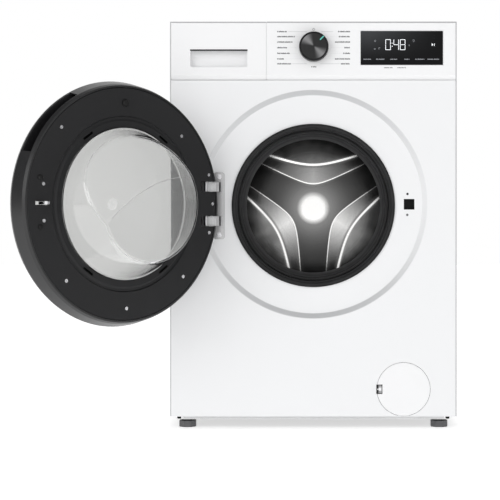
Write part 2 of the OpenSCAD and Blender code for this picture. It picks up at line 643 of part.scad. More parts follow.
// Outer door rim with the finger recess on the free edge.
module door_rim() {
  color([0.2, 0.2, 0.21]) door_pose() difference() {
    union() {
      difference() {
        yrev(0, axis_z, [[ring_in_r + 0.4, dy], [ring_in_r + 4, dy], [ring_in_r + 7, dy - 6],
          [rim_r, dy - 31], [rim_r - 1.6, dy - 37], [rim_r - 6, dy - 42], [rim_r - 11, dy - 45.5],
          [rim_r - 16, dy - 47], [205, dy - 47], [205, dy - 44], [rim_r - 16.5, dy - 44],
          [rim_r - 13, dy - 42.5], [rim_r - 8.4, dy - 39.5], [rim_r - 4.4, dy - 35.6],
          [rim_r - 3, dy - 31], [ring_in_r + 4, dy - 6], [ring_in_r + 2.4, dy - 3],
          [ring_in_r + 0.4, dy - 3]], 144);
        intersection() {
          yrev(0, axis_z, [[222, dy - 27], [250, dy - 27], [250, dy - 7], [222, dy - 7]], 144);
          wedge(24, 62, 300, dy - 30, dy);
        }
      }
      intersection() {
        yrev(0, axis_z, [[216, dy - 29], [236.4, dy - 29], [236.4, dy - 27], [218, dy - 27],
          [218, dy - 7], [230, dy - 7], [228, dy - 5], [216, dy - 5]], 144);
        wedge(23, 63, 300, dy - 30, dy);
      }
      for (a = [0 : 45 : 315]) translate([0, 0, axis_z]) rotate([0, a + 22.5, 0])
        ycyl(211, 0, dy - 44.1, dy - 34, 4, 24);
    }
    lug_pockets();
    knuckle_space();
    for (a = [0 : 45 : 315]) translate([0, 0, axis_z]) rotate([0, a + 22.5, 0])
      ycyl(211, 0, dy - 42, dy - 33, 1.4, 24);
  }
}

// Tinted outer window, gently domed.
module door_window() {
  color([0.55, 0.56, 0.58]) door_pose() yrev(0, axis_z, [[0, dy - 49], [90, dy - 48.4], [160, dy - 47.2],
    [200, dy - 45.2], [204.7, dy - 44], [204.7, dy - 41.6], [198, dy - 41.6], [160, dy - 43.7],
    [90, dy - 44.9], [0, dy - 45.5]], 144);
}

// Inner door ring: stepped face, lug pockets, latch slot and screw seats.
module door_inner() {
  color([0.16, 0.16, 0.17]) door_pose() difference() {
    union() {
      yrev(0, axis_z, [[147.8, dy - 3], [147.8, dy - 1], [149, dy], [160, dy], [164, dy - 2.2],
        [168, dy - 2.2], [170, dy], [ring_in_r - 1.4, dy], [ring_in_r, dy - 1.4],
        [ring_in_r, dy - 12], [ring_in_r - 2.4, dy - 12], [ring_in_r - 2.4, dy - 3],
        [163.4, dy - 5], [163.4, dy - 14], [161, dy - 14], [161, dy - 3.4]], 144);
      for (p = door_screw_at()) ycyl(p[0], axis_z + p[1], dy - 12, dy - 2.5, 4.6, 32);
      for (z = [3.1, -7.1]) bx(183, dy - 14, axis_z + z, 196, dy - 2.9, axis_z + z + 4);
      difference() {
        intersection() {
          for (s = [-1, 1])
            bx(hx - 4, hy - 8.8, lug_z + s*35 - 12.4, hx + 36, dy - 2.9, lug_z + s*35 + 12.4);
          ycyl(0, axis_z, dy - 60, dy + 5, ring_in_r, 144);
        }
        lug_pockets();
        knuckle_space();
      }
    }
    intersection() {
      yrev(0, axis_z, [[214, dy - 31], [230, dy - 31], [230, dy - 3.2], [214, dy - 3.2]], 144);
      wedge(22, 64, 300, dy - 32, dy);
    }
    lug_pockets();
    bx(177.8, dy - 5, axis_z - 3.6, 206.3, dy + 1, axis_z + 3.6);
    zcyl(189.5, dy - 8.5, axis_z - 8, axis_z + 8, 1.56, 24);
    for (a = [55, 125, 235, 305]) translate([0, 0, axis_z]) rotate([0, -a, 0]) bx(153.5, dy - 1.6,
      -12.5, 158.5, dy + 1, 12.5);
    for (p = door_screw_at()) {
      ycyl(p[0], axis_z + p[1], dy - 2.1, dy + 1, 3.5, 32);
      ycyl(p[0], axis_z + p[1], dy - 12.1, dy, 1.65, 24);
    }
    ycyl(3, axis_z + 194.5, dy - 4, dy + 1, 4.2, 32);
    for (p = [[196.5, 47], [195.5, -44]]) ycyl(p[0], axis_z + p[1], dy - 4, dy + 1, 2.2, 32);
  }
}

// Deep glass bowl clamped behind the inner ring.
module door_glass() {
  color([0.8, 0.86, 0.88]) door_pose() difference() {
    yrev(0, axis_z, [[159.5, dy - 9], [159.5, dy - 5.4], [147.4, dy - 4.6], [146.4, dy + 1],
      [118, dy + bowl_depth - 12], [114.5, dy + bowl_depth - 4], [108, dy + bowl_depth],
      [0, dy + bowl_depth], [0, dy + bowl_depth - 4], [107, dy + bowl_depth - 4],
      [111, dy + bowl_depth - 7], [114, dy + bowl_depth - 13], [141.6, dy - 1], [142, dy - 9]], 144);
  }
}

// Cross-head screws of the inner ring.
module door_screws() {
  color([0.78, 0.78, 0.8]) door_pose() for (p = door_screw_at())
    translate([0, 2*dy, 0]) mirror([0, 1, 0]) screw(p[0], dy + 0.1, axis_z + p[1], 3.4, 10);
}

// Rubber buffers pressed into the inner ring.
module door_bumpers() {
  color([0.1, 0.1, 0.1]) door_pose() {
    yrev(3, axis_z + 194.5, [[0, dy + 4.5], [5, dy + 4.2], [7.4, dy + 2.2], [7.4, dy + 0.05],
      [4.1, dy + 0.05], [4.1, dy - 3.4], [3, dy - 5], [0, dy - 5]], 48);
    for (p = [[196.5, 47], [195.5, -44]]) yrev(p[0], axis_z + p[1], [[0, dy + 3.4], [3.4, dy + 3.1],
      [5, dy + 1.6], [5, dy + 0.05], [2.1, dy + 0.05], [2.1, dy - 3.4], [0, dy - 5]], 32);
  }
}

// Door half of the hinge: backing plate with four knuckles on the pin.
module hinge_leaf() {
  color([0.68, 0.69, 0.7]) door_pose() difference() {
    union() {
      translate([0, hy - 9, 0]) slab(-3, 0) rr(hx - 3.5, lug_z - 60, hx + 40, lug_z + 60, 5);
      for (z = [lug_z - 54, lug_z - 25.2, lug_z + 15.7, lug_z + 44.8]) {
        translate([0, 0, z]) linear_extrude(z > lug_z + 40 || z < lug_z - 50 ? 9.2 : 9.5) union() {
          translate([hx, hy]) circle(5, $fn = 48);
          translate([hx - 3.5, hy - 10]) square([7, 10]);
        }
      }
    }
    zcyl(hx, hy, lug_z - 60, lug_z + 60, 2.55);
    for (z = [-48, 48]) ycyl(hx + 28, lug_z + z, hy - 13, hy - 8, 2.2, 24);
  }
}

// Latch hook on its small cross pin.
module door_hook() {
  color([0.78, 0.79, 0.8]) door_pose() {
    translate([0, 0, axis_z - 2.5]) linear_extrude(5) union() {
      translate([189.5, dy - 8.5]) circle(4.2, $fn = 32);
      polygon([[185.6, dy - 8], [186, dy + 7], [189.4, dy + 14], [189.6, dy + 22], [192, dy + 25],
        [197, dy + 25.5], [201, dy + 21.5], [201, dy + 19], [196, dy + 18.6], [195.4, dy + 12],
        [193, dy + 5], [193.4, dy - 8]]);
    }
    zcyl(189.5, dy - 8.5, axis_z - 6.6, axis_z + 6.6, 1.5, 24);
  }
}

// Drum wall with rolled edges and a pressed bead at each end.
module drum_shell() {
  color([0.74, 0.75, 0.76]) yrev(0, axis_z, [[drum_r, FY + 104.3], [drum_r + 1, FY + 104.3],
    [drum_r + 1, FY + 130], [drum_r + 3, FY + 134], [drum_r + 3, FY + 140], [drum_r + 1, FY + 144],
    [drum_r + 1, back_y - 42], [drum_r + 3, back_y - 38], [drum_r + 3, back_y - 32],
    [drum_r + 1, back_y - 28], [drum_r + 1, back_y - 2.2], [drum_r, back_y - 2.2],
    [drum_r, back_y - 28.4], [drum_r + 2, back_y - 32.4], [drum_r + 2, back_y - 37.6],
    [drum_r, back_y - 41.6], [drum_r, FY + 143.6], [drum_r + 2, FY + 139.6],
    [drum_r + 2, FY + 134.4], [drum_r, FY + 130.4]], 144);
}

// Front ring of the drum, rolled over at the mouth.
module drum_front() {
  color([0.74, 0.75, 0.76]) yrev(0, axis_z, [[150, FY + 92], [151, FY + 86.5], [154, FY + 83.5],
    [160, FY + 82.4], [drum_r - 8, FY + 84.5], [drum_r - 2, FY + 88], [drum_r + 1, FY + 95],
    [drum_r + 1, FY + 104.2], [drum_r, FY + 104.2], [drum_r, FY + 95.4], [drum_r - 2.7, FY + 89],
    [drum_r - 8.2, FY + 85.7], [160, FY + 83.6], [154.8, FY + 84.5], [152.2, FY + 87],
    [151.2, FY + 92]], 144);
}

// Drum back with three pressed lobes, each in two steps, round a domed hub.
module drum_back() {
  color([0.7, 0.71, 0.72]) union() {
    yrev(0, axis_z, [[0, back_y], [drum_r - 0.2, back_y], [drum_r - 0.2, back_y - 2],
      [drum_r + 1, back_y - 2], [drum_r + 1, back_y + 1.5], [0, back_y + 1.5]], 144);
    for (a = [90, 210, 330]) translate([0, 0, axis_z]) rotate([0, 90 - a, 0]) {
      slab(back_y - 6, back_y + 0.1) intersection() {
        circle(226, $fn = 144);
        translate([0, 270]) circle(214, $fn = 144);
      }
      slab(back_y - 11, back_y - 5.9) intersection() {
        circle(220, $fn = 144);
        translate([0, 359]) circle(258, $fn = 144);
      }
    }
    yrev(0, axis_z, [[0, back_y - 17], [14, back_y - 16], [25, back_y - 11], [32, back_y - 3],
      [33, back_y + 0.1], [0, back_y + 0.1]]);
  }
}

// Three hollow paddles inside the drum wall.
module drum_lifters() {
  color([0.72, 0.73, 0.74]) for (a = [30, 150, 270]) translate([0, 0, axis_z]) rotate([0, -a, 0])
    translate([0, back_y - 20, 0]) difference() {
      rotate([90, 0, 0]) linear_extrude(back_y - 20 - FY - 122) difference() {
        polygon([[drum_r - 1.8, -28], [222, -20], [194, -9], [188, -4], [188, 4], [194, 9], [222, 20],
          [drum_r - 1.8, 28]]);
        polygon([[drum_r - 3.4, -23], [223, -17.6], [196, -7], [191, -2], [191, 2], [196, 7], [223, 17.6],
          [drum_r - 3.4, 23]]);
      }
      for (i = [0 : 6]) translate([200, -30 - i*36, -30]) cylinder(h = 60, r = 3, $fn = 24);
    }
}

// Three-armed spider with the drum shaft cast in.
module drum_spider() {
  color([0.6, 0.61, 0.63]) {
    for (a = [30, 150, 270]) translate([0, 0, axis_z]) rotate([0, -a, 0])
      slab(back_y + 1.7, back_y + 22) polygon([[0, -30], [90, -19], [212, -13], [232, -18], [232, 18],
        [212, 13], [90, 19], [0, 30]]);
    yrev(0, axis_z, [[0, back_y + 1.7], [46, back_y + 1.7], [46, back_y + 22], [30, back_y + 31],
      [15, back_y + 31], [15, FY + 566], [13.5, FY + 567.5], [0, FY + 567.5]]);
  }
}

// Large belt pulley with six spokes.
module drum_pulley() {
  color([0.55, 0.56, 0.57]) difference() {
    union() {
      yrev(0, axis_z, [[pulley_r - 10, FY + 545], [pulley_r + 2, FY + 545], [pulley_r + 2, FY + 547],
        [pulley_r, FY + 547.6], [pulley_r, FY + 559.4], [pulley_r + 2, FY + 560],
        [pulley_r + 2, FY + 562], [pulley_r - 10, FY + 562]], 144);
      ycyl(0, axis_z, FY + 541, FY + 562, 30);
      for (a = [0 : 60 : 300]) translate([0, 0, axis_z]) rotate([0, a, 0]) bx(20, FY + 549,
        -9, pulley_r - 8, FY + 556, 9);
    }
    ycyl(0, axis_z, FY + 540, FY + 570, 15.02);
  }
}

// Motor rotor, its shaft and the small belt pulley.
module motor_rotor() {
  color([0.5, 0.5, 0.52]) yrev(motor_x, motor_z, [[0, FY + 472], [6, FY + 472], [6, FY + 478],
    [15, FY + 478], [15, FY + 508], [6, FY + 508], [6, FY + 540], [pinion_r + 2.5, FY + 540],
    [pinion_r + 2.5, FY + 545], [pinion_r, FY + 546], [pinion_r, FY + 561], [pinion_r + 2.5, FY + 562],
    [pinion_r + 2.5, FY + 564], [6, FY + 564], [6, FY + 568], [0, FY + 568]], 48);
}

// Detergent tray with three compartments and a ribbed floor.
module drawer_tray() {
  color([0.93, 0.94, 0.95]) difference() {
    union() {
      bx(-280.5, FY + 24.1, 747, -114.5, FY + 270, 806);
      bx(-281.8, FY + 60, 790, -113.2, FY + 270, 793);
    }
    bx(-278, FY + 28, 749.5, -226, FY + 262, 807);
    bx(-223.5, FY + 28, 749.5, -170, FY + 262, 807);
    bx(-167.5, FY + 28, 749.5, -117, FY + 100, 807);
    bx(-167.5, FY + 102.5, 753, -117, FY + 262, 807);
    for (i = [0 : 2]) bx(-270 + i*14, FY + 260, 752, -264 + i*14, FY + 271, 780);
    for (i = [0 : 2]) bx(-216 + i*14, FY + 260, 752, -210 + i*14, FY + 271, 780);
  }
}

// Moulded drawer front with its finger recess.
module drawer_front() {
  color([0.97, 0.97, 0.98]) intersection() {
    difference() {
      union() {
        difference() {
          fascia_block(-HX, seam_x - 0.4, 23.9, fz + 0.3, cab_h - 0.2);
          bx(-HX + 2.5, FY + 2.5, fz + 10, seam_x - 2.9, FY + 25, cab_h - 3.5);
          bx(-HX + 2.5, FY + 6, fz + 2.8, seam_x - 2.9, FY + 25, fz + 11);
        }
        bx(-257.5, FY + 1, 747.5, -134.5, FY + 18.5, 800);
        for (x = [-270, -122]) bx(x - 1.5, FY + 2, 750, x + 1.5, FY + 24, 800);
      }
      slab(FY - 1, FY + 16) rr(-255, 750, -137, 786, 5);
      bx(-250, FY + 4, 784, -142, FY + 16, 797.5);
    }
    translate([0, 0, fz - 1]) linear_extrude(fascia_h + 2) rr(-HX, FY, HX, FY + 60, edge_r);
  }
}

// Siphon cap over the softener compartment.
module siphon_cap() {
  color([0.3, 0.5, 0.75]) {
    bx(-167.2, FY + 106, 797, -117.3, FY + 200, 799);
    bx(-167.2, FY + 104, 797, -117.3, FY + 106.1, 804);
    zcyl(-142, FY + 225, 757, 790, 5, 32);
    bx(-146, FY + 196, 790, -138, FY + 230, 798);
    bx(-152, FY + 120, 798.9, -132, FY + 123, 803);
  }
}

// Programme knob with its pointer groove and switch spindle.
module knob() {
  color([0.2, 0.2, 0.21]) difference() {
    yrev(1, knob_z, [[0, FY - 22], [knob_r - 3.5, FY - 22], [knob_r - 0.8, FY - 20.4], [knob_r, FY - 18],
      [knob_r, FY - 1], [knob_r - 2.4, FY - 1], [knob_r - 2.4, FY - 18.6], [7, FY - 18.6], [7, FY + 1],
      [3, FY + 1], [3, FY + 13.6], [0, FY + 13.6]], 96);
    translate([1, 0, knob_z]) rotate([0, knob_turn, 0]) bx(-0.9, FY - 23, 18, 0.9, FY - 21.3, 32);
  }
}

// Round door over the pump filter, with its finger catch.
module filter_flap() {
  color([0.95, 0.95, 0.96]) difference() {
    union() {
      ycyl(flap_x, flap_z, FY, FY + 2, flap_r, 96);
      difference() {
        yrev(flap_x, flap_z, [[flap_r - 8, FY + 1.9], [flap_r - 6, FY + 1.9], [flap_r - 6, FY + 5],
          [flap_r - 8, FY + 5]], 96);
        bx(flap_x + 20, FY, flap_z - 60, flap_x + 60, FY + 8, flap_z + 60);
      }
      bx(134, FY + 1.9, flap_z - 11, 147, FY + 7, flap_z + 11);
      bx(132.8, FY + 5, flap_z - 5, 135, FY + 7, flap_z + 5);
    }
    bx(133.5, FY - 1, flap_z - 9.5, 143, FY + 5, flap_z - 3.2);
    bx(133.5, FY - 1, flap_z + 3.2, 143, FY + 5, flap_z + 9.5);
    bx(141, FY - 1, flap_z - 9.5, 143, FY + 1.2, flap_z + 9.5);
  }
}

// Screw-in filter with its grip bar and lint basket.
module filter_cap() {
  color([0.5, 0.62, 0.75]) difference() {
    union() {
      ycyl(flap_x, flap_z, FY + 14, FY + 30, 37.2);
      bx(flap_x - 30, FY + 8.5, flap_z - 5, flap_x + 30, FY + 14.1, flap_z + 5);
      ycyl(flap_x, flap_z, FY + 29.9, FY + 96, 30);
    }
    ycyl(flap_x, flap_z, FY + 34, FY + 97, 27.5);
    for (a = [0 : 30 : 150]) translate([flap_x, 0, flap_z]) rotate([0, a, 0]) bx(-40, FY + 42, -4, 40,
      FY + 90, 4);
  }
}

// Four-vane pump impeller.
module pump_impeller() {
  color([0.15, 0.15, 0.16]) {
    ycyl(flap_x, flap_z, FY + 108, FY + 129, 7, 32);
    ycyl(flap_x, flap_z, FY + 128.9, FY + 160, 3, 32);
    ycyl(flap_x, flap_z, FY + 127, FY + 129, 24, 48);
    for (a = [45, 135]) translate([flap_x, 0, flap_z]) rotate([0, a, 0]) bx(-24, FY + 110, -1.2, 24,
      FY + 128, 1.2);
  }
}

// Levelling foot: faceted pad, neck, lock nut and threaded stud.
module foot(x, y) {
  color([0.2, 0.2, 0.21]) translate([x, y, 0]) {
    rotate([0, 0, 22.5]) cylinder(h = 13, r = foot_r, $fn = 8);
    zcyl(0, 0, 12.9, 19, 8.5, 32);
    cylinder(h = 24.5, r = 9, $fn = 6);
    zcyl(0, 0, 12, 58, 5, 32);
  }
}

module foot_fl() {
  foot(-foot_x, FY + 45);
}

module foot_fr() {
  foot(foot_x, FY + 45);
}

module foot_rl() {
  foot(-foot_x, RY - 45);
}

module foot_rr() {
  foot(foot_x, RY - 45);
}

side_left();
side_right();
rear_panel();
front_panel();
top_panel();
base_tray();
plinth_strip();
corner_plugs();
fascia();
display_window();
display_board();
drawer_housing();
inlet_valve();
control_board();
cable_gland();
door_lock();
hinge_bracket();
hinge_screws();
hinge_pin();
gasket();
springs();
dampers();
tub_front();
tub_rear();
weight_front();
weight_top();
heater();
bearings();
motor();
belt();
pump_body();
sump_hose();
drain_hose();
transit_caps();
door_rim();
door_window();
door_inner();
door_glass();
door_screws();
door_bumpers();
hinge_leaf();
door_hook();
drum_shell();
drum_front();
drum_back();
drum_lifters();
drum_spider();
drum_pulley();
motor_rotor();
drawer_tray();
drawer_front();
siphon_cap();
knob();
filter_flap();
filter_cap();
pump_impeller();
foot_fl();
foot_fr();
foot_rl();
foot_rr();
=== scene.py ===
# %% [markdown]
# # A front load washing machine
# The machine arrives as a packed set of solid parts, each riding on the body it moves with. This script keeps
# those parts where they are, gives every one a finish, and builds by hand the pieces whose looks need finer
# meshes: the drum back, the bellows, the door glass, the fascia print and a few dark gaps, which are painted
# shade.

# %% Load the imported parts
import bpy
import json
import math
from mathutils import Matrix, Vector


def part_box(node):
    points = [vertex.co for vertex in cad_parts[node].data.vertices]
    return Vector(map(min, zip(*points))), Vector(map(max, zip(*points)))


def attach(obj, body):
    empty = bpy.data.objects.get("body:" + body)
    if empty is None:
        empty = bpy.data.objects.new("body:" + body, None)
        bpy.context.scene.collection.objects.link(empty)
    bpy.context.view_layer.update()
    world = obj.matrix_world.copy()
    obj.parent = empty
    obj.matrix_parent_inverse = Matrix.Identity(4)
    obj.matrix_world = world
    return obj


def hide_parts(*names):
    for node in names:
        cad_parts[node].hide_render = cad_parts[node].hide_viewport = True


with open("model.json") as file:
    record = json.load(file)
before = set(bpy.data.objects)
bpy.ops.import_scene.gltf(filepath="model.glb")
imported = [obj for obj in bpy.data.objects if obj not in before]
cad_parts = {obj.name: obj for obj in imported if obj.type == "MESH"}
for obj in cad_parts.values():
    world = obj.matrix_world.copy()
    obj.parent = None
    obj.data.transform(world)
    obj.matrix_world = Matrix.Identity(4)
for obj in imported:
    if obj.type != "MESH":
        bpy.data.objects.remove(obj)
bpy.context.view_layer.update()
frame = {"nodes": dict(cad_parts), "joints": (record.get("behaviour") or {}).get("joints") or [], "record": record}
nodes = frame["nodes"]

# %% [markdown]
# ## Where things are
# Every later step needs the same few numbers: the plane of the front sheet,
# the porthole axis and the door's hinge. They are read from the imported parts
# and their joints, so a change to the solid model moves the fine pieces too.

# %% Read the main places
joint = {j["name"]: j for j in frame["joints"]}
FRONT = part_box("front_panel")[0].y
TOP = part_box("top_panel")[1].z
AXIS = joint["door_hinge"]["pos_m"][2]
HINGE = Vector(joint["door_hinge"]["pos_m"])
OPEN = math.radians(-joint["door_hinge"]["range_deg"][0])
RING = FRONT - 0.0115
DRUM_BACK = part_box("drum_back")[1].y - 0.0015
print("front", round(FRONT, 4), "axis", AXIS, "door open by", round(math.degrees(OPEN)))

# %% [markdown]
# ## Shader maths in plain Python
# A shader is a graph of small boxes. Wiring each box by hand hides the idea,
# so this class wraps one output socket and lets + - * / build the Math nodes.
# `Shader.node` makes any other node: settings first, then socket values.

# %% Wrap a socket so that it can be used in sums
class Wire:
    def __init__(self, shader, socket):
        self.shader, self.socket = shader, socket

    def math(self, operation, *others, clamp=False):
        node = self.shader.tree.nodes.new("ShaderNodeMath")
        node.operation, node.use_clamp = operation, clamp
        for slot, value in zip(node.inputs, (self,) + others):
            self.shader.put(slot, value)
        return Wire(self.shader, node.outputs[0])

    def __add__(self, other): return self.math("ADD", other)
    def __radd__(self, other): return self.math("ADD", other)
    def __mul__(self, other): return self.math("MULTIPLY", other)
    def __rmul__(self, other): return self.math("MULTIPLY", other)
    def __sub__(self, other): return self.math("SUBTRACT", other)
    def __rsub__(self, other): return self.math("MULTIPLY_ADD", -1.0, other)
    def __truediv__(self, other): return self.math("DIVIDE", other)
    def __pow__(self, other): return self.math("POWER", other)
    def clip(self): return self.math("ADD", 0.0, clamp=True)
    def step(self, start, end):
        return ((self - start) / (end - start)).clip()


# %% A material with its tree, its shader and a few shortcuts
class Shader:
    def __init__(self, name):
        self.material = bpy.data.materials.new(name)
        self.material.use_nodes = True
        self.tree = self.material.node_tree
        self.surface = self.tree.nodes["Principled BSDF"]
        self._place = None

    def put(self, slot, value):
        if isinstance(value, Wire):
            self.tree.links.new(value.socket, slot)
        elif hasattr(slot.default_value, "__len__"):
            value = value if hasattr(value, "__len__") else (value,) * 3
            size = len(slot.default_value)
            slot.default_value = (tuple(value) + (1.0,) * size)[:size]
        else:
            slot.default_value = value

    def node(self, kind, settings=None, output=0, **values):
        made = self.tree.nodes.new(kind)
        stops = (settings or {}).pop("stops", None)
        for key, value in (settings or {}).items():
            setattr(made, key, value)
        if stops:
            ramp = made.color_ramp
            while len(ramp.elements) < len(stops):
                ramp.elements.new(0.5)
            for element, (at, colour) in zip(ramp.elements, stops):
                element.position, element.color = at, (*colour, 1.0)
        for key, value in values.items():
            self.put(made.inputs[key.replace("_", " ")], value)
        return Wire(self, made.outputs[output])

    def set(self, **values):
        for key, value in values.items():
            self.put(self.surface.inputs[key.replace("_", " ")], value)
        return self

    @property
    def place(self):
        if self._place is None:
            self._place = self.node("ShaderNodeTexCoord", output="Object")
        return self._place

    def axes(self):
        split = self.tree.nodes.new("ShaderNodeSeparateXYZ")
        self.put(split.inputs[0], self.place)
        return [Wire(self, s) for s in split.outputs]

    def around(self, x_at, z_at):
        """Sideways distances from the y axis through (x_at, z_at), then the radius from it."""
        x, _, z = self.axes()
        x, z = x - x_at, z - z_at
        return x, z, (x * x + z * z) ** 0.5

    def stretch(self, x, y, z):
        made = self.tree.nodes.new("ShaderNodeVectorMath")
        made.operation = "MULTIPLY"
        self.put(made.inputs[0], self.place)
        self.put(made.inputs[1], (x, y, z))
        return Wire(self, made.outputs[0])

    def noise(self, scale, detail=2.0, roughness=0.5, at=None):
        return self.node("ShaderNodeTexNoise", Scale=scale, Detail=detail, Roughness=roughness,
                         Vector=at or self.place)

    def rings(self, distance):
        """Noise read along one distance only, which shows as rings round an axis."""
        return self.node("ShaderNodeTexNoise", {"noise_dimensions": "1D"}, W=distance, Scale=1.0, Detail=3.0)

    def blend(self, factor, first, second):
        made = self.tree.nodes.new("ShaderNodeMix")
        made.data_type = "RGBA"
        for index, value in ((0, factor), (6, first), (7, second)):
            self.put(made.inputs[index], value)
        return Wire(self, made.outputs[2])

    def bump(self, height, depth, strength=1.0):
        lifted = self.node("ShaderNodeBump", Strength=strength, Distance=depth, Height=height)
        return self.set(Normal=lifted)


print("shader helpers ready")

# %% [markdown]
# ## Paint and plastic
# Baked enamel on sheet steel is smooth with a faint orange peel; moulded
# plastic has a finer, drier grain. Both drift a little in shade over a large
# panel. A slow noise changes the colour by a hair and a fast, shallow one
# lifts the surface, which is what makes a highlight on them look real.

# %% Enamel and moulded plastic
# Painted shade: the grey that the outer edges of the front face are blended towards.
EDGE_SHADE_GREY = (0.42, 0.425, 0.435)
SIDE_EDGE = (0.2938, 0.2958)
CROWN_EDGE = (TOP - 0.0036, TOP - 0.0016)
EDGE_REACH = (FRONT + 0.012, FRONT + 0.004)
PEEL_SCALE, PEEL_DEPTH = 420.0, 0.000006


def drift(shader, colour, amount, scale=3.0):
    """Colour that wanders a little darker over the surface."""
    shade = shader.noise(scale, 3.0).step(0.3, 0.7)
    return shader.blend(shade, colour, tuple(c * (1.0 - amount) for c in colour[:3]))


def baked(s, base, rough):
    """What all enamel shares: a slow wander of gloss, a thin coat and orange peel."""
    s.set(Base_Color=base, Roughness=s.noise(6.0) * 0.02 + (rough - 0.01),
          Coat_Weight=0.25, Coat_Roughness=0.15)
    s.bump(s.noise(PEEL_SCALE, 1.0), PEEL_DEPTH, 0.35)
    return s.material


def enamel(name, colour, rough=0.3):
    s = Shader(name)
    return baked(s, drift(s, colour, 0.004, 1.1), rough)


def edge_painted_shade(shader, base, shade):
    """Painted shade on the front face's outer edges, where the white turns away from the light and greys a little.
    """
    x, y, z = shader.axes()
    side = x.math("ABSOLUTE").step(*SIDE_EDGE)
    crown = z.step(*CROWN_EDGE)
    face = y.step(*EDGE_REACH)
    return shader.blend(side.math("MAXIMUM", crown) * face * 0.8, base, shade)


def moulded(name, colour, rough=0.45, grain=0.00004, scale=2600.0, wander=0.03, gloss=0.5, shade=None):
    s = Shader(name)
    base = drift(s, colour, wander, 9.0)
    if shade:
        base = edge_painted_shade(s, base, shade)
    s.set(Base_Color=base, Roughness=s.noise(60.0) * 0.1 + (rough - 0.05), Specular_IOR_Level=gloss)
    s.bump(s.noise(scale, 2.0), grain, 0.5)
    return s.material


print("paint and plastic ready")

# %% [markdown]
# ## Metal, rubber, concrete
# Brushed steel keeps fine parallel scratches: noise squeezed hard along one
# direction. Turned parts carry rings instead, so their noise is read from the
# distance to the axis alone. Rubber is nearly black and dusty; concrete is
# pitted.

# %% Brushed and turned metal
def brushed(name, colour, rough=0.32, along="z", scratch=0.00002):
    s = Shader(name)
    squeeze = {"x": (12, 900, 900), "y": (900, 12, 900), "z": (900, 900, 12)}[along]
    hair = s.noise(1.0, 3.0, at=s.stretch(*squeeze))
    s.set(Base_Color=s.blend(hair.step(0.3, 0.7), colour, tuple(c * 0.86 for c in colour)),
          Metallic=1.0, Roughness=hair * 0.2 + (rough - 0.1))
    s.bump(hair, scratch, 0.4)
    return s.material


def turned(name, colour, rough=0.25, centre=(0.0, 0.0), rings=900.0, depth=0.00002):
    s = Shader(name)
    ring = s.rings(s.around(*centre)[2] * rings)
    s.set(Base_Color=s.blend(ring.step(0.3, 0.7), colour, tuple(c * 0.85 for c in colour)),
          Metallic=1.0, Roughness=ring * 0.2 + (rough - 0.1))
    s.bump(ring, depth, 0.4)
    return s.material


def rubber(name, colour, rough=0.55):
    s = Shader(name)
    dust = s.noise(25.0, 4.0).step(0.45, 0.75)
    s.set(Base_Color=s.blend(dust, colour, tuple(c * 1.25 + 0.01 for c in colour)),
          Roughness=dust * 0.15 + (rough - 0.05), Specular_IOR_Level=0.25)
    s.bump(s.noise(1500.0, 3.0), 0.00005, 0.5)
    return s.material


def concrete(name, colour):
    s = Shader(name)
    pits = s.noise(120.0, 5.0, 0.7)
    pitted = s.blend(pits.step(0.35, 0.65), colour, tuple(c * 0.7 for c in colour))
    s.set(Base_Color=pitted, Roughness=0.92)
    s.bump(pits, 0.0008, 0.8)
    return s.material


def clear(name, colour, rough=0.02, tint=0.0):
    """Glass with faint smears; tint is how much of it is a milky film."""
    s = Shader(name)
    smear = s.noise(14.0, 4.0, 0.6).step(0.45, 0.8)
    s.set(Base_Color=colour, Transmission_Weight=1.0 - tint, IOR=1.47, Roughness=smear * 0.03 + rough)
    s.bump(s.noise(5.0, 0.0), 0.0002, 0.05)
    return s.material


print("metal, rubber, concrete and glass ready")

# %% [markdown]
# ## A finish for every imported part
# Each solid part has a slot in the record. One table turns slots into
# finishes; parts that need their own, such as the turned drum or the bellows,
# are named after it and win.

# %% Finishes by slot
WHITE = (0.83, 0.835, 0.845)
finish = {
    "white_enamel": enamel("white enamel", WHITE, 0.28),
    "white_plastic": moulded("white plastic", (0.86, 0.862, 0.87), 0.36, 0.00001, 1800.0, 0.01,
                             shade=EDGE_SHADE_GREY),
    "zinc_sheet": enamel("coated rear sheet", (0.62, 0.63, 0.64), 0.45),
    "grey_plastic": moulded("grey plastic", (0.5, 0.51, 0.53), 0.5),
    "dark_plastic": moulded("dark plastic", (0.013, 0.013, 0.014), 0.5, gloss=0.28),
    "black_glass": moulded("black display glass", (0.004, 0.004, 0.005), 0.08, 0.0, 10.0),
    "tint_glass": clear("tinted window", (0.70, 0.70, 0.69), 0.05, 0.06),
    "clear_glass": clear("clear glass", (0.97, 0.985, 0.985), 0.0),
    "board": moulded("circuit board", (0.02, 0.12, 0.05), 0.4),
    "bright_steel": turned("turned drum steel", (0.72, 0.72, 0.73), 0.24, (0.0, AXIS)),
    "hinge_steel": brushed("satin hinge steel", (0.56, 0.56, 0.565), 0.3, "z"),
    "chromed": brushed("bright screws", (0.78, 0.78, 0.8), 0.22, "x"),
    "cast_alloy": brushed("cast alloy", (0.55, 0.56, 0.57), 0.5, "y", 0.0001),
    "concrete": concrete("cast concrete", (0.42, 0.41, 0.39)),
    "grey_rubber": rubber("grey bellows rubber", (0.055, 0.057, 0.06)),
    "black_rubber": rubber("black rubber", (0.006, 0.006, 0.006)),
    "knob_plastic": moulded("knob plastic", (0.008, 0.008, 0.009), 0.3, gloss=0.2),
    "blue_plastic": moulded("blue plastic", (0.12, 0.25, 0.5), 0.4),
    "tray_plastic": moulded("tray plastic", (0.7, 0.75, 0.8), 0.35),
    "motor_paint": enamel("motor paint", (0.03, 0.03, 0.033), 0.45),
}
print("finishes", len(finish))

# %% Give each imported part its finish
def dress(part, material):
    for holder in part.material_slots:
        holder.link, holder.material = "OBJECT", material


for entry in frame["record"]["subparts"]:
    dress(nodes[entry["node"]], finish[entry["material_slot"]])


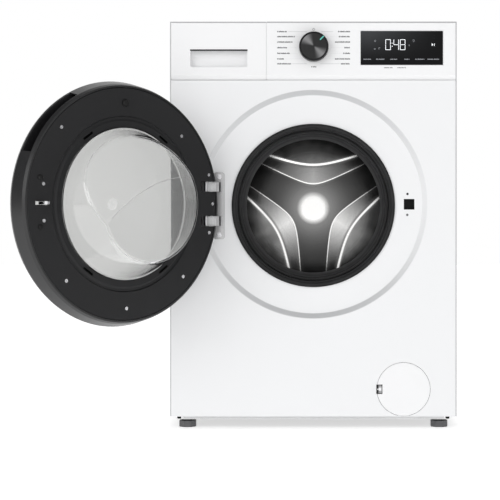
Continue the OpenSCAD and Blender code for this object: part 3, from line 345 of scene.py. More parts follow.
PRESSED_RING_Z = 0.466
BEND_INNER, BEND_OUTER = (0.2255, 0.2275), (0.2380, 0.2360)
# Painted shade: the grey blended into the upper and lower bend of the pressed ring.
BEND_SHADE_GREY = (0.46, 0.465, 0.475)


def front_enamel():
    """The body's enamel, with painted shade in the upper and lower bend of the ring."""
    s = Shader("front enamel")
    x, z, radius = s.around(0.0, PRESSED_RING_Z)
    painted_light_band = radius.step(*BEND_INNER) * radius.step(*BEND_OUTER)
    high = (z / radius).math("ABSOLUTE") ** 1.4
    white = edge_painted_shade(s, drift(s, WHITE, 0.004, 1.1), EDGE_SHADE_GREY)
    return baked(s, s.blend(painted_light_band * (high * 0.8 + 0.05), white, BEND_SHADE_GREY), 0.28)


dress(nodes["front_panel"], front_enamel())
dress(nodes["door_rim"], moulded("door rim plastic", (0.011, 0.011, 0.012), 0.3, gloss=0.6))
foot_plastic = moulded("foot plastic", (0.1, 0.1, 0.105), 0.35)
for name in ("foot_fl", "foot_fr", "foot_rl", "foot_rr"):
    dress(nodes[name], foot_plastic)
dress(nodes["plinth_strip"], moulded("plinth plastic", (0.8, 0.805, 0.81), 0.5, wander=0.01))

# %% [markdown]
# ## Building pieces by hand
# Most fine pieces are either turned shapes or flat outlines with a thickness.
# `lathe` spins a closed profile of (radius, y) points round the porthole axis
# or any other; `plate` gives an outline in x and z a thickness along y.
# `shut_to_open` carries door pieces, drawn with the door shut, to where the
# door stands open.

# %% Mesh helpers
def piece(name, verts, faces, material, body, smooth=True, angle=35.0):
    mesh = bpy.data.meshes.new(name)
    mesh.from_pydata([tuple(v) for v in verts], [], faces)
    mesh.validate()
    made = bpy.data.objects.new(name, mesh)
    bpy.context.scene.collection.objects.link(made)
    mesh.materials.append(material)
    if smooth:
        for face in mesh.polygons:
            face.use_smooth = True
        mesh.set_sharp_from_angle(angle=math.radians(angle))
    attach(made, body)
    return made


shut_to_open = Matrix.Translation(HINGE) @ Matrix.Rotation(-OPEN, 4, "Z") @ Matrix.Translation(-HINGE)


def rounded(points, reach, steps=3):
    """The same profile with its corners eased."""
    out = []
    for i, corner in enumerate(points):
        here = Vector(corner)
        back, ahead = Vector(points[i - 1]) - here, Vector(points[(i + 1) % len(points)]) - here
        cut = min(reach, back.length * 0.45, ahead.length * 0.45)
        start, end = here + back.normalized() * cut, here + ahead.normalized() * cut
        for k in range(steps + 1):
            t = k / steps
            out.append(tuple(start * (1 - t) ** 2 + here * 2 * t * (1 - t) + end * t * t))
    return out


def lathe(name, profile, centre, material, body, around=160, pose=None, hollow=True, smooth=True):
    """Spin (radius, y) points; a closed profile makes a ring, an open one a cup."""
    verts, faces, count = [], [], len(profile)
    for step in range(around):
        turn = 2 * math.pi * step / around
        for r, y in profile:
            verts.append(Vector((centre[0] + r * math.cos(turn), y, centre[1] + r * math.sin(turn))))
    for step in range(around):
        here, after = step * count, (step + 1) % around * count
        for k in range(count if hollow else count - 1):
            j = (k + 1) % count
            faces.append((here + k, here + j, after + j, after + k))
    if pose:
        verts = [pose @ v for v in verts]
    return piece(name, verts, faces, material, body, smooth)


def plate(name, outlines, y0, y1, material, body, pose=None):
    """Flat outlines in x and z, all one piece, from y0 back to y1."""
    verts, faces = [], []
    for outline in outlines:
        start, n = len(verts), len(outline)
        pairs = zip(outline[-1:] + outline[:-1], outline)
        area = sum(x0 * z1 - x1 * z0 for (x0, z0), (x1, z1) in pairs)
        loop = outline if area > 0 else outline[::-1]
        verts += [Vector((x, y0, z)) for x, z in loop] + [Vector((x, y1, z)) for x, z in loop]
        faces.append(tuple(range(start, start + n)))
        faces.append(tuple(range(start + 2 * n - 1, start + n - 1, -1)))
        for i in range(n):
            j = (i + 1) % n
            faces.append((start + i, start + n + i, start + n + j, start + j))
    if pose:
        verts = [pose @ v for v in verts]
    return piece(name, verts, faces, material, body, False)


def bar(x, z, width, height, slant=0.0):
    w, h = width / 2, height / 2
    return [(x - w - slant, z - h), (x + w - slant, z - h),
            (x + w + slant, z + h), (x - w + slant, z + h)]


def disc(x, z, radius, n=24, start=0.0, sweep=2 * math.pi):
    return [(x + radius * math.cos(start + sweep * i / n), z + radius * math.sin(start + sweep * i / n))
            for i in range(n)]


def arc(x, z, radius, thick, start, end, n=20):
    turns = [math.radians(start + (end - start) * i / n) for i in range(n + 1)]
    outer, inner = ([(x + r * math.cos(t), z + r * math.sin(t)) for t in turns]
                    for r in (radius + thick / 2, radius - thick / 2))
    return outer + inner[::-1]


print("mesh helpers ready")

# %% [markdown]
# ## The drum back
# The back of the drum is one polished sheet with three pressed lobes, and each lobe steps up twice along a curved
# bend. A height for every point of a disc gives both the steps and the domed hub, so one formula makes the mesh;
# the same curves, as shader maths, paint light into the steel's colour: painted highlights along the bends and on
# the hub, a painted glow round the hub, painted reflections across the lobes and painted shade in the valleys.

# %% Curves that bound the lobes
LOBES = (90.0, 210.0, 330.0)
INNER = dict(near=0.056, bend=0.030, rise=0.50)
OUTER = dict(near=0.101, bend=0.060, rise=0.37)


def soft_step(value, width):
    t = min(1.0, max(0.0, value / width + 0.5))
    return t * t * (3.0 - 2.0 * t)


def past(u, v, near, bend, rise):
    return v - near - rise * (math.hypot(bend, u) - bend)


def drum_height(x, z):
    radius, height = math.hypot(x, z), 0.0
    for turn in LOBES:
        a = math.radians(turn)
        u, v = x * math.sin(a) - z * math.cos(a), x * math.cos(a) + z * math.sin(a)
        rim = soft_step(0.224 - radius, 0.012)
        first, second = soft_step(past(u, v, **INNER), 0.009), soft_step(past(u, v, **OUTER), 0.010)
        height += rim * (0.0009 * first + 0.0011 * second)
    return height + 0.0012 * soft_step(0.030 - radius, 0.020)


print("height at the hub", round(drum_height(0, 0), 4), "on a lobe", round(drum_height(0, 0.15), 4))

# %% Steel with painted highlights and shade that follow the curves
def wired_past(u, v, near, bend, rise):
    """The same test as `past`, as shader maths."""
    return v - ((u * u + bend ** 2) ** 0.5 * rise + (near - rise * bend))


def drum_steel_painted_light():
    s = Shader("pressed drum steel painted light")
    x, z, radius = s.around(0.0, AXIS)
    painted_light_band, lobe, thin, thick = [], [], [], []
    for turn in LOBES:
        a = math.radians(turn)
        u = x * math.sin(a) - z * math.cos(a)
        v = x * math.cos(a) + z * math.sin(a)
        first, second = wired_past(u, v, **INNER), wired_past(u, v, **OUTER)
        # Painted reflections: each band is brightest at the middle of its lobe, and the top lobe's band and face
        # are painted darker than those of the two low ones.
        bright = 0.62 if turn != 90.0 else 0.24
        painted_light_band.append(first.step(-0.001, 0.003) * (1.0 - second.step(-0.008, 0.0))
                    * ((u.math("ABSOLUTE").step(0.10, 0.0) ** 1.6) * bright + 0.05))
        lobe.append(second.step(0.0, 0.004) * (0.16 if turn == 90.0 else 0.30))
        # Painted highlights along the inner and outer bends.
        thin.append(1.0 - (first - 0.001).math("ABSOLUTE").step(0.0006, 0.0017))
        thick.append(1.0 - (second - 0.001).math("ABSOLUTE").step(0.0013, 0.0034))
    rings = s.rings(radius * 260.0)
    smudge = s.noise(17.0, 2.0).step(0.38, 0.66)
    tone_with_painted_light = painted_light_band[0] + painted_light_band[1] + painted_light_band[2] + (lobe[0] + lobe[1] + lobe[2]) * (smudge * 0.6 + 0.45)
    tone_with_painted_light = tone_with_painted_light * (rings * 0.3 + 0.85) + 0.045
    # Painted glow round the hub and a painted highlight on the hub itself; where the tone stays low, the valleys
    # are painted shade.
    glow = radius.step(0.120, 0.030) ** 2.0
    tone_with_painted_light = tone_with_painted_light + glow * 0.24
    hub = radius.step(0.040, 0.025) ** 1.3 * 0.80
    tone_with_painted_light = tone_with_painted_light + (thin[0] + thin[1] + thin[2]) * 0.8 + (thick[0] + thick[1] + thick[2]) * 1.0 + hub
    tone_with_painted_light = tone_with_painted_light.clip()
    s.set(Base_Color=s.blend(tone_with_painted_light, (0.012, 0.012, 0.012), (1.0, 0.995, 0.985)), Metallic=1.0,
          Roughness=rings * 0.06 + smudge * 0.06 + 0.12)
    s.bump(rings, 0.00003, 0.4)
    return s.material


def height_disc(name, centre, reach, rings, around, depth, material, body):
    verts, faces = [Vector((centre[0], depth(0, 0), centre[1]))], []
    for i in range(1, rings + 1):
        for k in range(around):
            t = 2 * math.pi * k / around
            x, z = reach * i / rings * math.cos(t), reach * i / rings * math.sin(t)
            verts.append(Vector((centre[0] + x, depth(x, z), centre[1] + z)))
    for k in range(around):
        faces.append((0, 1 + (k + 1) % around, 1 + k))
    for i in range(rings - 1):
        a, b = 1 + i * around, 1 + (i + 1) * around
        for k in range(around):
            j = (k + 1) % around
            faces.append((a + k, a + j, b + j, b + k))
    return piece(name, verts, faces, material, body, angle=60.0)


drum_face = height_disc("drum_back_pressing", (0.0, AXIS), 0.2386, 150, 240,
                        lambda x, z: DRUM_BACK - drum_height(x, z), drum_steel_painted_light(), "drum")
sheet_thickness = drum_face.modifiers.new("sheet thickness", "SOLIDIFY")
sheet_thickness.thickness, sheet_thickness.offset = 0.0012, -1.0
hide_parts("drum_back")
# Painted shade: a darker copy of the drum steel for the shell, the lifters and the drum's front.
painted_shade_steel = turned("drum steel painted shade", (0.2, 0.2, 0.2), 0.3, (0.0, AXIS))
for name in ("drum_shell", "drum_lifters", "drum_front"):
    dress(nodes[name], painted_shade_steel)
print("drum back", len(drum_face.data.polygons), "faces")

# %% [markdown]
# ## The bellows
# The grey rubber ring between the front sheet and the tub is a turned shape
# with soft folds. It is drawn as a closed profile from its bead on the sheet
# to its thin sealing lip, with every corner eased before it is spun.

# %% Spin the bellows
folds = [(0.1695, 0.0022), (0.1640, 0.0020), (0.1612, 0.0045), (0.1600, 0.0085), (0.1612, 0.0125),
         (0.1594, 0.0150), (0.1578, 0.0138), (0.1562, 0.0165), (0.1556, 0.0215), (0.1570, 0.0265),
         (0.1550, 0.0300), (0.1520, 0.0290), (0.1500, 0.0330), (0.1480, 0.0480), (0.1455, 0.0560),
         (0.1418, 0.0770), (0.1416, 0.0810), (0.1438, 0.0815), (0.1492, 0.0600), (0.1495, 0.0578),
         (0.1534, 0.0578), (0.1534, 0.0698), (0.1568, 0.0698), (0.1568, 0.0520), (0.1604, 0.0400),
         (0.1604, 0.0245), (0.1640, 0.0200), (0.1650, 0.0170), (0.1650, 0.0058), (0.1695, 0.0058)]


def bellows_rubber():
    """Rubber whose colour steps with the radius: painted light on the proud folds and painted shade, near black,
    down in the creases, under a faint dust.
    """
    s = Shader("bellows rubber")
    radius = s.around(0.0, AXIS)[2]
    painted_fold_shades = ((0.03, 0.085), (0.22, 0.055), (0.34, 0.034), (0.47, 0.020), (0.55, 0.006), (0.63, 0.040),
              (0.75, 0.024), (0.84, 0.014), (0.94, 0.004))
    tone_with_painted_light = s.node("ShaderNodeValToRGB", {"stops": [(at, (v, v, v * 1.03)) for at, v in painted_fold_shades]},
                  Fac=radius.step(0.140, 0.170))
    dust = s.noise(30.0, 3.0).step(0.4, 0.75)
    s.set(Base_Color=s.blend(dust * 0.25, tone_with_painted_light, (0.06, 0.06, 0.062)), Roughness=dust * 0.1 + 0.48,
          Specular_IOR_Level=0.2)
    s.bump(s.noise(1500.0, 3.0), 0.00003, 0.3)
    return s.material


profile = rounded([(r, FRONT + y) for r, y in folds], 0.0016)
bellows = lathe("bellows", profile, (0.0, AXIS), bellows_rubber(), "cabinet", 200)
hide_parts("gasket")
print("bellows", len(bellows.data.polygons), "faces")

# %% [markdown]
# ## The door glass
# The bowl is pressed glass: a steep round wall, a flat deep end low down and a
# shallower slanted face above it, meeting in an arched crease. The depth at
# each point is the least of those three surfaces, blended so that every edge
# is round, and a Solidify modifier gives the wall its thickness.

# %% Depth of the bowl
BOWL_MOUTH, WALL_FOOT, WALL_HEIGHT = 0.1468, 0.1135, 0.084
BOWL_DEPTH, SLANT = 0.086, 0.42
BOWL_RIM = RING - 0.0046


def least(a, b, round_by):
    h = max(0.0, min(1.0, 0.5 + 0.5 * (b - a) / round_by))
    return b * (1 - h) + a * h - round_by * h * (1 - h)


def arch_of(u):
    return 0.033 - 0.433 * u - 2.445 * u * u


def wall_at(radius):
    return (BOWL_MOUTH - radius) / (BOWL_MOUTH - WALL_FOOT) * WALL_HEIGHT


def slant_at(u, v):
    return BOWL_DEPTH - SLANT * max(0.0, v - arch_of(u))


def bowl_depth(u, v):
    end = least(BOWL_DEPTH, slant_at(u, v), 0.004)
    return least(wall_at(math.hypot(u, v)), end, 0.010)


def bowl_point(u, v):
    flat = math.hypot(u, v) > BOWL_MOUTH
    return BOWL_RIM if flat else BOWL_RIM + max(0.0, bowl_depth(u, v))


bowl = height_disc("glass_bowl", (0.0, AXIS), 0.159, 130, 200, bowl_point,
                   clear("bowl glass", (0.985, 0.99, 0.99)), "door")
for vert in bowl.data.vertices:
    vert.co = bowl.matrix_world.inverted() @ shut_to_open @ vert.co
glass_wall = bowl.modifiers.new("glass wall", "SOLIDIFY")
glass_wall.thickness, glass_wall.offset = 0.0034, -1.0
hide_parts("door_glass")
print("glass bowl depth", round(bowl_depth(0, -0.03), 4), "top", round(bowl_depth(0, 0.1), 4))

# %% [markdown]
# ## Creases and rims of the glass
# Light runs along every crease of pressed glass and draws it as a bright thread. A slim bead laid on each crease
# paints that thread as a highlight in a near-white colour of its own, so it shows from any side: one round the
# deep end, one along the arched crease across it, and one at the mouth, where the glass turns over. A second bead
# at the mouth, in black rubber, is the seal it sits in. Points come from the same depth formula as the bowl, so
# the beads follow it exactly.

# %% Sweep a slim bead along points
def bead(name, points, thick, material, body, closed=False, around=8):
    verts, faces, count = [], [], len(points)
    for i, here in enumerate(points):
        before = points[i - 1] if i or closed else here
        after = points[(i + 1) % count] if i < count - 1 or closed else here
        ahead = (after - before).normalized()
        side = ahead.cross(Vector((0.3, 1.0, 0.2))).normalized()
        lift = side.cross(ahead)
        for k in range(around):
            t = 2 * math.pi * k / around
            verts.append(here + side * thick * math.cos(t) + lift * thick * math.sin(t))
    for i in range(count if closed else count - 1):
        a, b = i * around, (i + 1) % count * around
        for k in range(around):
            j = (k + 1) % around
            faces.append((a + k, a + j, b + j, b + k))
    return piece(name, verts, faces, material, body)


# Painted highlight: the near-white, part-clear colour of the beads that stand in for light along the creases and
# the mouth.
def painted_highlight_edge(name, strong):
    s = Shader(name)
    wisp = s.noise(26.0, 2.0).step(0.35, 0.65)
    s.set(Base_Color=s.blend(wisp, (0.86, 0.86, 0.85), (1.0, 1.0, 1.0)), Roughness=wisp * 0.1 + 0.15,
          Alpha=wisp * 0.35 + strong)
    return s.material


def on_bowl(u, v, depth):
    return shut_to_open @ Vector((u, BOWL_RIM + depth, AXIS + v))


def rim_circle(radius, depth):
    return [on_bowl(radius * math.cos(t), radius * math.sin(t), depth) for t in turns]


def along_bowl(points):
    """Points sunk a hair into the glass, so that half of each bead is inside it."""
    return [on_bowl(u, v, bowl_depth(u, v) - 0.001) for u, v in points]


def edge_radius(turn):
    """Radius at which the steep wall meets the deep end or the slanted face."""
    low, high = 0.06, BOWL_MOUTH
    for _ in range(24):
        mid = (low + high) / 2
        u, v = mid * math.cos(turn), mid * math.sin(turn)
        inside = wall_at(mid) > slant_at(u, v)
        low, high = (mid, high) if inside else (low, mid)
    return low


turns = [2 * math.pi * i / 180 for i in range(180)]
deep_end = [(edge_radius(t) * math.cos(t), edge_radius(t) * math.sin(t)) for t in turns]
crease = bead("bowl_end_crease", along_bowl(deep_end), 0.0009,
              painted_highlight_edge("deep end crease", 0.25), "door", closed=True)
arch = [(u, arch_of(u)) for u in (-0.104 + 0.198 * i / 60 for i in range(61))]
arch_crease = bead("bowl_arch_crease", along_bowl(arch), 0.0008, painted_highlight_edge("arch crease", 0.15), "door")
mouth_edge = bead("bowl_mouth_edge", rim_circle(0.1462, 0.004), 0.0012,
                  painted_highlight_edge("mouth edge", 0.5), "door", closed=True)
seal_bead = bead("bowl_seal", rim_circle(0.1474, 0.0052), 0.0009,
                 rubber("bowl seal rubber", (0.008, 0.008, 0.008)), "door", closed=True)
print("creases", len(deep_end), "points round the deep end")

# %% [markdown]
# ## Slots round the bowl
# Four short slots stand round the bowl. The solid part cuts them as shallow pockets, which catch too much light to
# show. A dull black floor laid in each is painted shade: it keeps them dark, as if they opened into the hollow
# door.

# %% The four slot floors
SLOT_TURNS = (55, 125, 235, 305)
SLOT_NEAR, SLOT_FAR, SLOT_HALF = 0.1536, 0.1584, 0.0124


def slot_outline(turn):
    """A short slot across the radius, inset a hair from its pocket's walls."""
    c, s = math.cos(math.radians(turn)), math.sin(math.radians(turn))
    corners = [(SLOT_NEAR, -SLOT_HALF), (SLOT_FAR, -SLOT_HALF), (SLOT_FAR, SLOT_HALF), (SLOT_NEAR, SLOT_HALF)]
    return [(r * c - t * s, AXIS + r * s + t * c) for r, t in corners]


# Painted shade: the near-black colour of the slot floors.
def slot_painted_shade():
    s = Shader("slot floor painted shade")
    dust = s.noise(90.0).step(0.4, 0.7)
    s.set(Base_Color=s.blend(dust, (0.0012, 0.0012, 0.0012), (0.003, 0.003, 0.003)),
          Roughness=0.9, Specular_IOR_Level=0.02)
    s.bump(s.noise(700.0, 2.0), 0.00005, 0.4)
    return s.material


slot_floors = plate("bowl_slot_floors", [slot_outline(turn) for turn in SLOT_TURNS],
                    RING - 0.00155, RING - 0.0012, slot_painted_shade(), "door", shut_to_open)
print("slot floors", len(SLOT_TURNS))

# %% [markdown]
# ## The fascia print
# The programme list is printed in two columns beside the knob. Print is a
# film of ink with no depth to speak of, so each mark is a very thin plate just
# proud of the plastic. The words are stood in for by rows of plain blocks that
# carry the right length and weight and say nothing.

# %% Helpers for printed marks
def metres(outline):
    return [(x / 1000.0, z / 1000.0) for x, z in outline]


def blocks(x0, x1, z, height=2.4):
    """A row of plain blocks, standing for a printed label."""
    out, x, k = [], x0, int(abs(x0 * 7 + z))
    while x < x1 - 0.7:
        wide = (1.0, 1.5, 0.8, 1.9, 1.2)[k % 5]
        tall = height * (0.78, 1.0, 0.78, 0.78, 1.0, 0.9)[k % 6]
        wide = min(wide, x1 - x)
        out.append(bar(x + wide / 2, z - (height - tall) / 2, wide, tall))
        x, k = x + wide + (0.35 if k % 7 else 1.2), k + 1
    return out


def dots(x0, x1, z):
    count = max(2, int((x1 - x0) / 1.7))
    return [bar(x0 + (x1 - x0) * i / (count - 1), z, 0.7, 0.7) for i in range(count)]


def ink(name, colour, rough=0.6):
    s = Shader(name)
    grain = s.noise(900.0, 2.0)
    s.set(Base_Color=s.blend(grain.step(0.4, 0.75), colour, tuple(c * 1.15 + 0.01 for c in colour)),
          Roughness=grain * 0.1 + (rough - 0.05))
    return s.material


def printed(name, outlines, y, material, body="cabinet", depth=0.0002):
    made = plate(name, [metres(o) for o in outlines], y - depth, y, material, body)
    return made


# %% Print the two columns
ROWS = (824.0, 813.6, 802.4, 790.7, 779.0, 767.4, 757.3)
LEFT_ENDS = (-55.3, -38.5, -42.4, -54.7, -48.9, -61.2, -46.3)
RIGHT_STARTS = (51.4, 52.7, 44.9, 64.3, 61.7, 44.9, 57.2)
LEFT_DOTS = {1: (-35.3, -23.6), 2: (-39.2, -31.4), 3: (-50.8, -34.0),
             4: (-45.6, -32.7), 5: (-57.9, -22.4)}
RIGHT_DOTS = {1: (34.6, 49.4), 2: (37.2, 41.7), 3: (37.8, 60.4), 4: (36.5, 59.1), 5: (24.9, 41.0)}
labels, leaders = [], []
for k, z in enumerate(ROWS):
    labels += blocks(-74.7, LEFT_ENDS[k], z, 2.9) + blocks(RIGHT_STARTS[k], 76.0, z, 2.9)
    for spans in (LEFT_DOTS, RIGHT_DOTS):
        if k in spans:
            leaders += dots(*spans[k], z)
rules = [bar(-32.7, 824.0, 38.8, 1.1), bar(-28.5, 757.3, 30.4, 1.1), bar(29.0, 824.0, 24.0, 1.1),
         bar(34.5, 757.3, 40.1, 1.1)]
labels += blocks(-4.2, 6.1, 751.0) + blocks(146.2, 164.3, 749.1, 1.8) + blocks(174.0, 192.1, 749.1, 1.8)
printed("fascia_labels", labels, FRONT, ink("label ink", (0.09, 0.092, 0.095)))
printed("fascia_leaders", leaders + rules, FRONT, ink("leader ink", (0.62, 0.625, 0.63)))
power = [arc(0.7, 828.3, 2.3, 0.7, 115, 425), bar(0.7, 830.0, 0.7, 3.0)]
printed("power_mark", power, FRONT, ink("power ink", (0.22, 0.225, 0.23)))
print("printed marks", len(labels) + len(leaders) + len(rules))

# %% [markdown]
# ## The display
# Behind the black glass glow a clock and a few small signs. The glass itself
# is a part of the solid model; the lit shapes are thin plates on its face with
# a little light of their own, and a narrow bright bead frames the glass.

# %% Black glass with a painted sheen across it
def display_glass():
    s = Shader("display glass")
    x, y, z = s.axes()
    # Painted reflection: a sheen, brightest towards the left and the top, blended into the glass's colour.
    across = (x - 0.098).step(0.02, 0.17)
    up = (z - 0.755).step(0.0, 0.07)
    painted_sheen = ((1.0 - across) * up) ** 1.4
    sheen_breakup = s.noise(30.0, 2.0) * 0.15 + 0.92
    s.set(Base_Color=s.blend(painted_sheen * sheen_breakup, (0.0025, 0.0025, 0.003), (0.05, 0.052, 0.056)),
          Roughness=s.noise(8.0) * 0.04 + 0.1, Specular_IOR_Level=0.12)
    return s.material


def glowing(name, colour, strength):
    s = Shader(name)
    flicker = s.noise(700.0, 1.0) * 0.1 + 0.95
    s.set(Base_Color=s.blend(flicker, (0.0, 0.0, 0.0), colour), Roughness=s.noise(50.0) * 0.1 + 0.4,
          Emission_Color=s.blend(flicker, (0.0, 0.0, 0.0), colour), Emission_Strength=strength)
    return s.material


dress(nodes["display_window"], display_glass())

# %% Lit shapes on the glass
SEGMENTS = {"0": "abcdef", "4": "bcfg", "8": "abcdefg"}


def digit(sign, x0, x1, z0, z1, thick=1.05):
    mid, half, wide, tall = (z0 + z1) / 2, thick / 2, x1 - x0, (z1 - z0) / 2
    place = {"a": bar((x0 + x1) / 2, z1 - half, wide - thick * 1.4, thick),
             "d": bar((x0 + x1) / 2, z0 + half, wide - thick * 1.4, thick),
             "g": bar((x0 + x1) / 2, mid, wide - thick * 1.8, thick),
             "f": bar(x0 + half, (mid + z1) / 2, thick, tall - thick * 0.9),
             "e": bar(x0 + half, (mid + z0) / 2, thick, tall - thick * 0.9),
             "b": bar(x1 - half, (mid + z1) / 2, thick, tall - thick * 0.9),
             "c": bar(x1 - half, (mid + z0) / 2, thick, tall - thick * 0.9)}
    return [place[s] for s in SEGMENTS[sign]]


face_y = FRONT - 0.0002
clock = digit("0", 149.4, 160.4, 785.8, 807.8) + digit("4", 166.2, 177.2, 785.8, 807.8)
clock += digit("8", 179.6, 190.6, 785.8, 807.8) + [disc(163.3, z, 0.9, 12) for z in (799.9, 793.3)]
triangle = [(245.4, 794.2), (245.4, 799.4), (249.2, 796.8)]
clock += [triangle, bar(250.9, 796.8, 0.9, 5.2)]
lit_digits = glowing("lit digits", (0.85, 0.87, 0.9), 0.55)
printed("clock_digits", clock, face_y, lit_digits)
signs = [arc(128.1, 804.6, 1.5, 0.7, 0, 359), bar(127.4, 788.4, 3.6, 0.8), bar(127.4, 787.0, 2.4, 0.7),
         arc(137.1, 789.0, 1.7, 0.7, 20, 250), bar(198.6, 796.1, 2.8, 0.8), bar(198.6, 794.4, 1.8, 0.7),
         arc(207.6, 805.2, 1.7, 0.7, -60, 180), bar(207.6, 802.9, 3.0, 0.7)]
KEY_SPANS = ((104.1, 119.7), (130.3, 148.1), (159.1, 173.3),
             (188.9, 199.6), (211.2, 230.9), (236.7, 260.7))
for x0, x1 in KEY_SPANS:
    signs += blocks(x0, x1, 766.7, 2.3)
lit_signs = glowing("lit signs", (0.26, 0.27, 0.29), 0.12)
printed("display_signs", signs, face_y, lit_signs)
surround = [bar(183.35, 825.7, 171.5, 0.9), bar(183.35, 754.2, 171.5, 0.9),
            bar(97.5, 789.95, 0.9, 72.4), bar(269.2, 789.95, 0.9, 72.4)]
bead_metal = brushed("display bead metal", (0.8, 0.8, 0.81), 0.3, "x")
printed("display_bead", surround, FRONT, bead_metal, depth=0.0004)
print("lit shapes", len(clock) + len(signs))

# %% [markdown]
# ## The knob
# The knob is black moulded plastic with a spun metal face. Spinning leaves rings round the centre, and rings throw
# a bright wedge of light to two opposite sides; here that wedge is a painted highlight in the face's colour. The
# wedge is the product of the two sideways distances divided by the radius squared, so no angle needs to be worked
# out.

# %% Spun face and pointer
KNOB = (0.001, 0.7915)


def spun_face():
    s = Shader("spun knob face")
    x, z, radius = s.around(*KNOB)
    square = radius * radius
    # Painted highlight: the bright wedge to two opposite sides of the face.
    painted_wedge_highlight = (x * z * -2.0 / (square + 0.000004)).clip() ** 2.5
    ring = s.rings(radius * 2600.0)
    tone_with_painted_light = (painted_wedge_highlight * 0.62 + 0.06) * (ring * 0.6 + 0.7)
    s.set(Base_Color=s.blend(tone_with_painted_light.clip(), (0.006, 0.006, 0.006), (0.34, 0.34, 0.345)), Metallic=0.5,
          Roughness=ring * 0.15 + 0.42, Specular_IOR_Level=0.25)
    s.bump(ring, 0.00002, 0.3)
    return s.material


knob_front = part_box("knob")[0].y
disc_profile = [(r, knob_front + y) for r, y in ((0.0, -0.0003), (0.0252, -0.0003), (0.0262, -0.0001),
                                                 (0.0262, 0.0004), (0.0, 0.0004))]
face = lathe("knob_face", disc_profile, KNOB, spun_face(), "selector", 128)
aim = math.radians(45.0)
along, across = (math.sin(aim), math.cos(aim)), (math.cos(aim), -math.sin(aim))
corners = [(18.2, -1.2), (28.6, -1.2), (29.2, 0.0), (28.6, 1.2), (18.2, 1.2)]
pointer = [(KNOB[0] * 1000 + a * along[0] + b * across[0], KNOB[1] * 1000 + a * along[1] + b * across[1])
           for a, b in corners]
# The pointer is plastic with a faint glow of its own: painted light, as it is no lamp.
mark = plate("knob_pointer", [metres(pointer)], knob_front - 0.0007, knob_front + 0.0008,
             glowing("pointer plastic painted glow", (0.1, 0.5, 0.42), 0.12), "selector")
print("knob face at", round(knob_front, 4))

# %% [markdown]
# ## Grip, catch and latch marks
# Three small dark details break the white front: the gap above the drawer's finger recess, the outline of the
# catch in the round filter door, and the small dot and mark by the latch. The gap and the catch's outline are
# painted shade, black plates where the gaps fall dark. Each is a shallow plate in its own place.

# %% Small dark details
# Painted shade: the black of the drawer's grip gap and of the catch's outline, also used for the dot by the latch.
shadow_gap = ink("gap black", (0.006, 0.006, 0.007), 0.7)
mark_grey = ink("mark grey", (0.25, 0.255, 0.26))
recess_y = FRONT + 0.006
grip = [bar(-196.0, 785.4, 119.0, 3.2)]
catch = [bar(131.3, 82.5, 1.4, 19.0), bar(142.4, 82.5, 1.3, 19.0), bar(136.8, 91.4, 12.4, 1.4),
         bar(136.8, 73.6, 12.4, 1.4), bar(133.6, 87.2, 3.2, 7.6), bar(133.6, 77.8, 3.2, 7.6)]
dot = [disc(195.6, 487.5, 2.4, 24)]
mark_by_latch = [arc(195.0, 444.0, 2.1, 1.0, 0, 359), bar(195.0, 444.0, 2.4, 0.8)]
for name, outlines, y, material, body in (("drawer_grip_gap", grip, FRONT, shadow_gap, "drawer"),
                                          ("filter_catch_gap", catch, FRONT, shadow_gap, "flap"),
                                          ("latch_dot", dot, recess_y, shadow_gap, "cabinet"),
                                          ("latch_mark", mark_by_latch, recess_y, mark_grey, "cabinet")):
    printed(name, outlines, y, material, body, 0.0003)
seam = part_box("drawer_front")[1].x + 0.0004
lip_low, lip_high = 0.7245, TOP - 0.0015
lip_outline = bar(seam, (lip_low + lip_high) / 2, 0.0006, lip_high - lip_low)
lip = plate("drawer_seam_lip", [lip_outline], FRONT + 0.0005, FRONT + 0.0025,
            moulded("seam lip plastic", (0.7, 0.705, 0.71), 0.5, wander=0.01), "cabinet")
print("small dark details ready")

# %% [markdown]
# ## Floor, light and camera
# A pale floor, a pale surround that is darker at the sides, one broad light
# from the front left and a faint one from the right keep the white body white
# while its pressings still throw a shade. The floor glows a little, so that it
# stays as pale as the surround. The camera stands near the porthole's height
# and looks straight at the front; its shift alone moves the machine to the
# right of the frame.

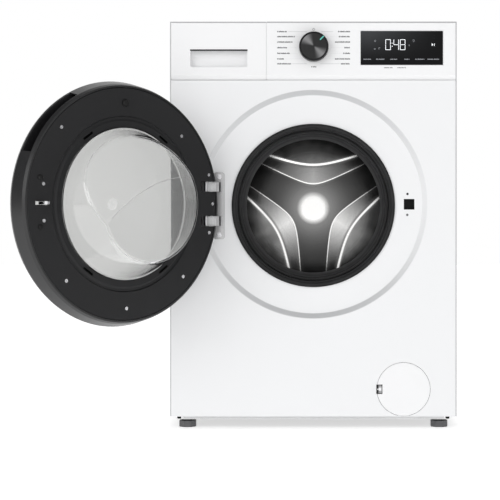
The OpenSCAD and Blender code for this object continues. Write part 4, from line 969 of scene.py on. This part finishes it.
# %% Floor and light
floor_mesh = bpy.data.meshes.new("floor")
floor_mesh.from_pydata([(-12, -12, 0), (12, -12, 0), (12, 12, 0), (-12, 12, 0)], [], [(0, 1, 2, 3)])
floor = bpy.data.objects.new("floor", floor_mesh)
bpy.context.scene.collection.objects.link(floor)
ground = Shader("pale floor")
ground.set(Base_Color=drift(ground, (0.9, 0.9, 0.9), 0.01, 1.0), Roughness=0.9,
           Emission_Color=(1.0, 1.0, 1.0), Emission_Strength=0.62)
floor_mesh.materials.append(ground.material)

world = bpy.data.worlds.new("studio")
world.use_nodes = True
sky = world.node_tree
heading = sky.nodes.new("ShaderNodeTexCoord")
split = sky.nodes.new("ShaderNodeSeparateXYZ")
sky.links.new(heading.outputs["Generated"], split.inputs[0])
facing = sky.nodes.new("ShaderNodeMath")
facing.operation = "ABSOLUTE"
sky.links.new(split.outputs[1], facing.inputs[0])
walls = sky.nodes.new("ShaderNodeValToRGB")
for element, (at, grey) in zip(walls.color_ramp.elements, ((0.30, 0.22), (0.70, 1.0))):
    element.position, element.color = at, (grey, grey, grey, 1.0)
sky.links.new(facing.outputs[0], walls.inputs[0])
sky.links.new(walls.outputs[0], sky.nodes["Background"].inputs[0])
sky.nodes["Background"].inputs[1].default_value = 1.0
bpy.context.scene.view_settings.view_transform = "Standard"
bpy.context.scene.world = world


def lamp(name, at, to, size, watts):
    data = bpy.data.lights.new(name, "AREA")
    data.shape, data.size, data.energy = "SQUARE", size, watts
    made = bpy.data.objects.new(name, data)
    made.location = at
    made.rotation_euler = (Vector(to) - Vector(at)).to_track_quat("-Z", "Y").to_euler()
    bpy.context.scene.collection.objects.link(made)


lamp("key light", (-2.6, -3.8, 1.8), (0, 0, 0.5), 2.2, 33)
lamp("side light", (3.0, -2.2, 1.6), (0, 0, 0.5), 1.4, 5)
print("floor and light ready")

# %% The camera
camera_data = bpy.data.cameras.new("camera")
camera_data.sensor_width, camera_data.lens = 36.0, 104.2
camera_data.shift_x, camera_data.shift_y = -0.1267, -0.05
camera = bpy.data.objects.new("camera", camera_data)
camera.location = (0.0, FRONT - 3.0, 0.423)
camera.rotation_euler = (math.pi / 2, 0.0, 0.0)
bpy.context.scene.collection.objects.link(camera)
bpy.context.scene.camera = camera
print("camera at", tuple(round(v, 3) for v in camera.location))
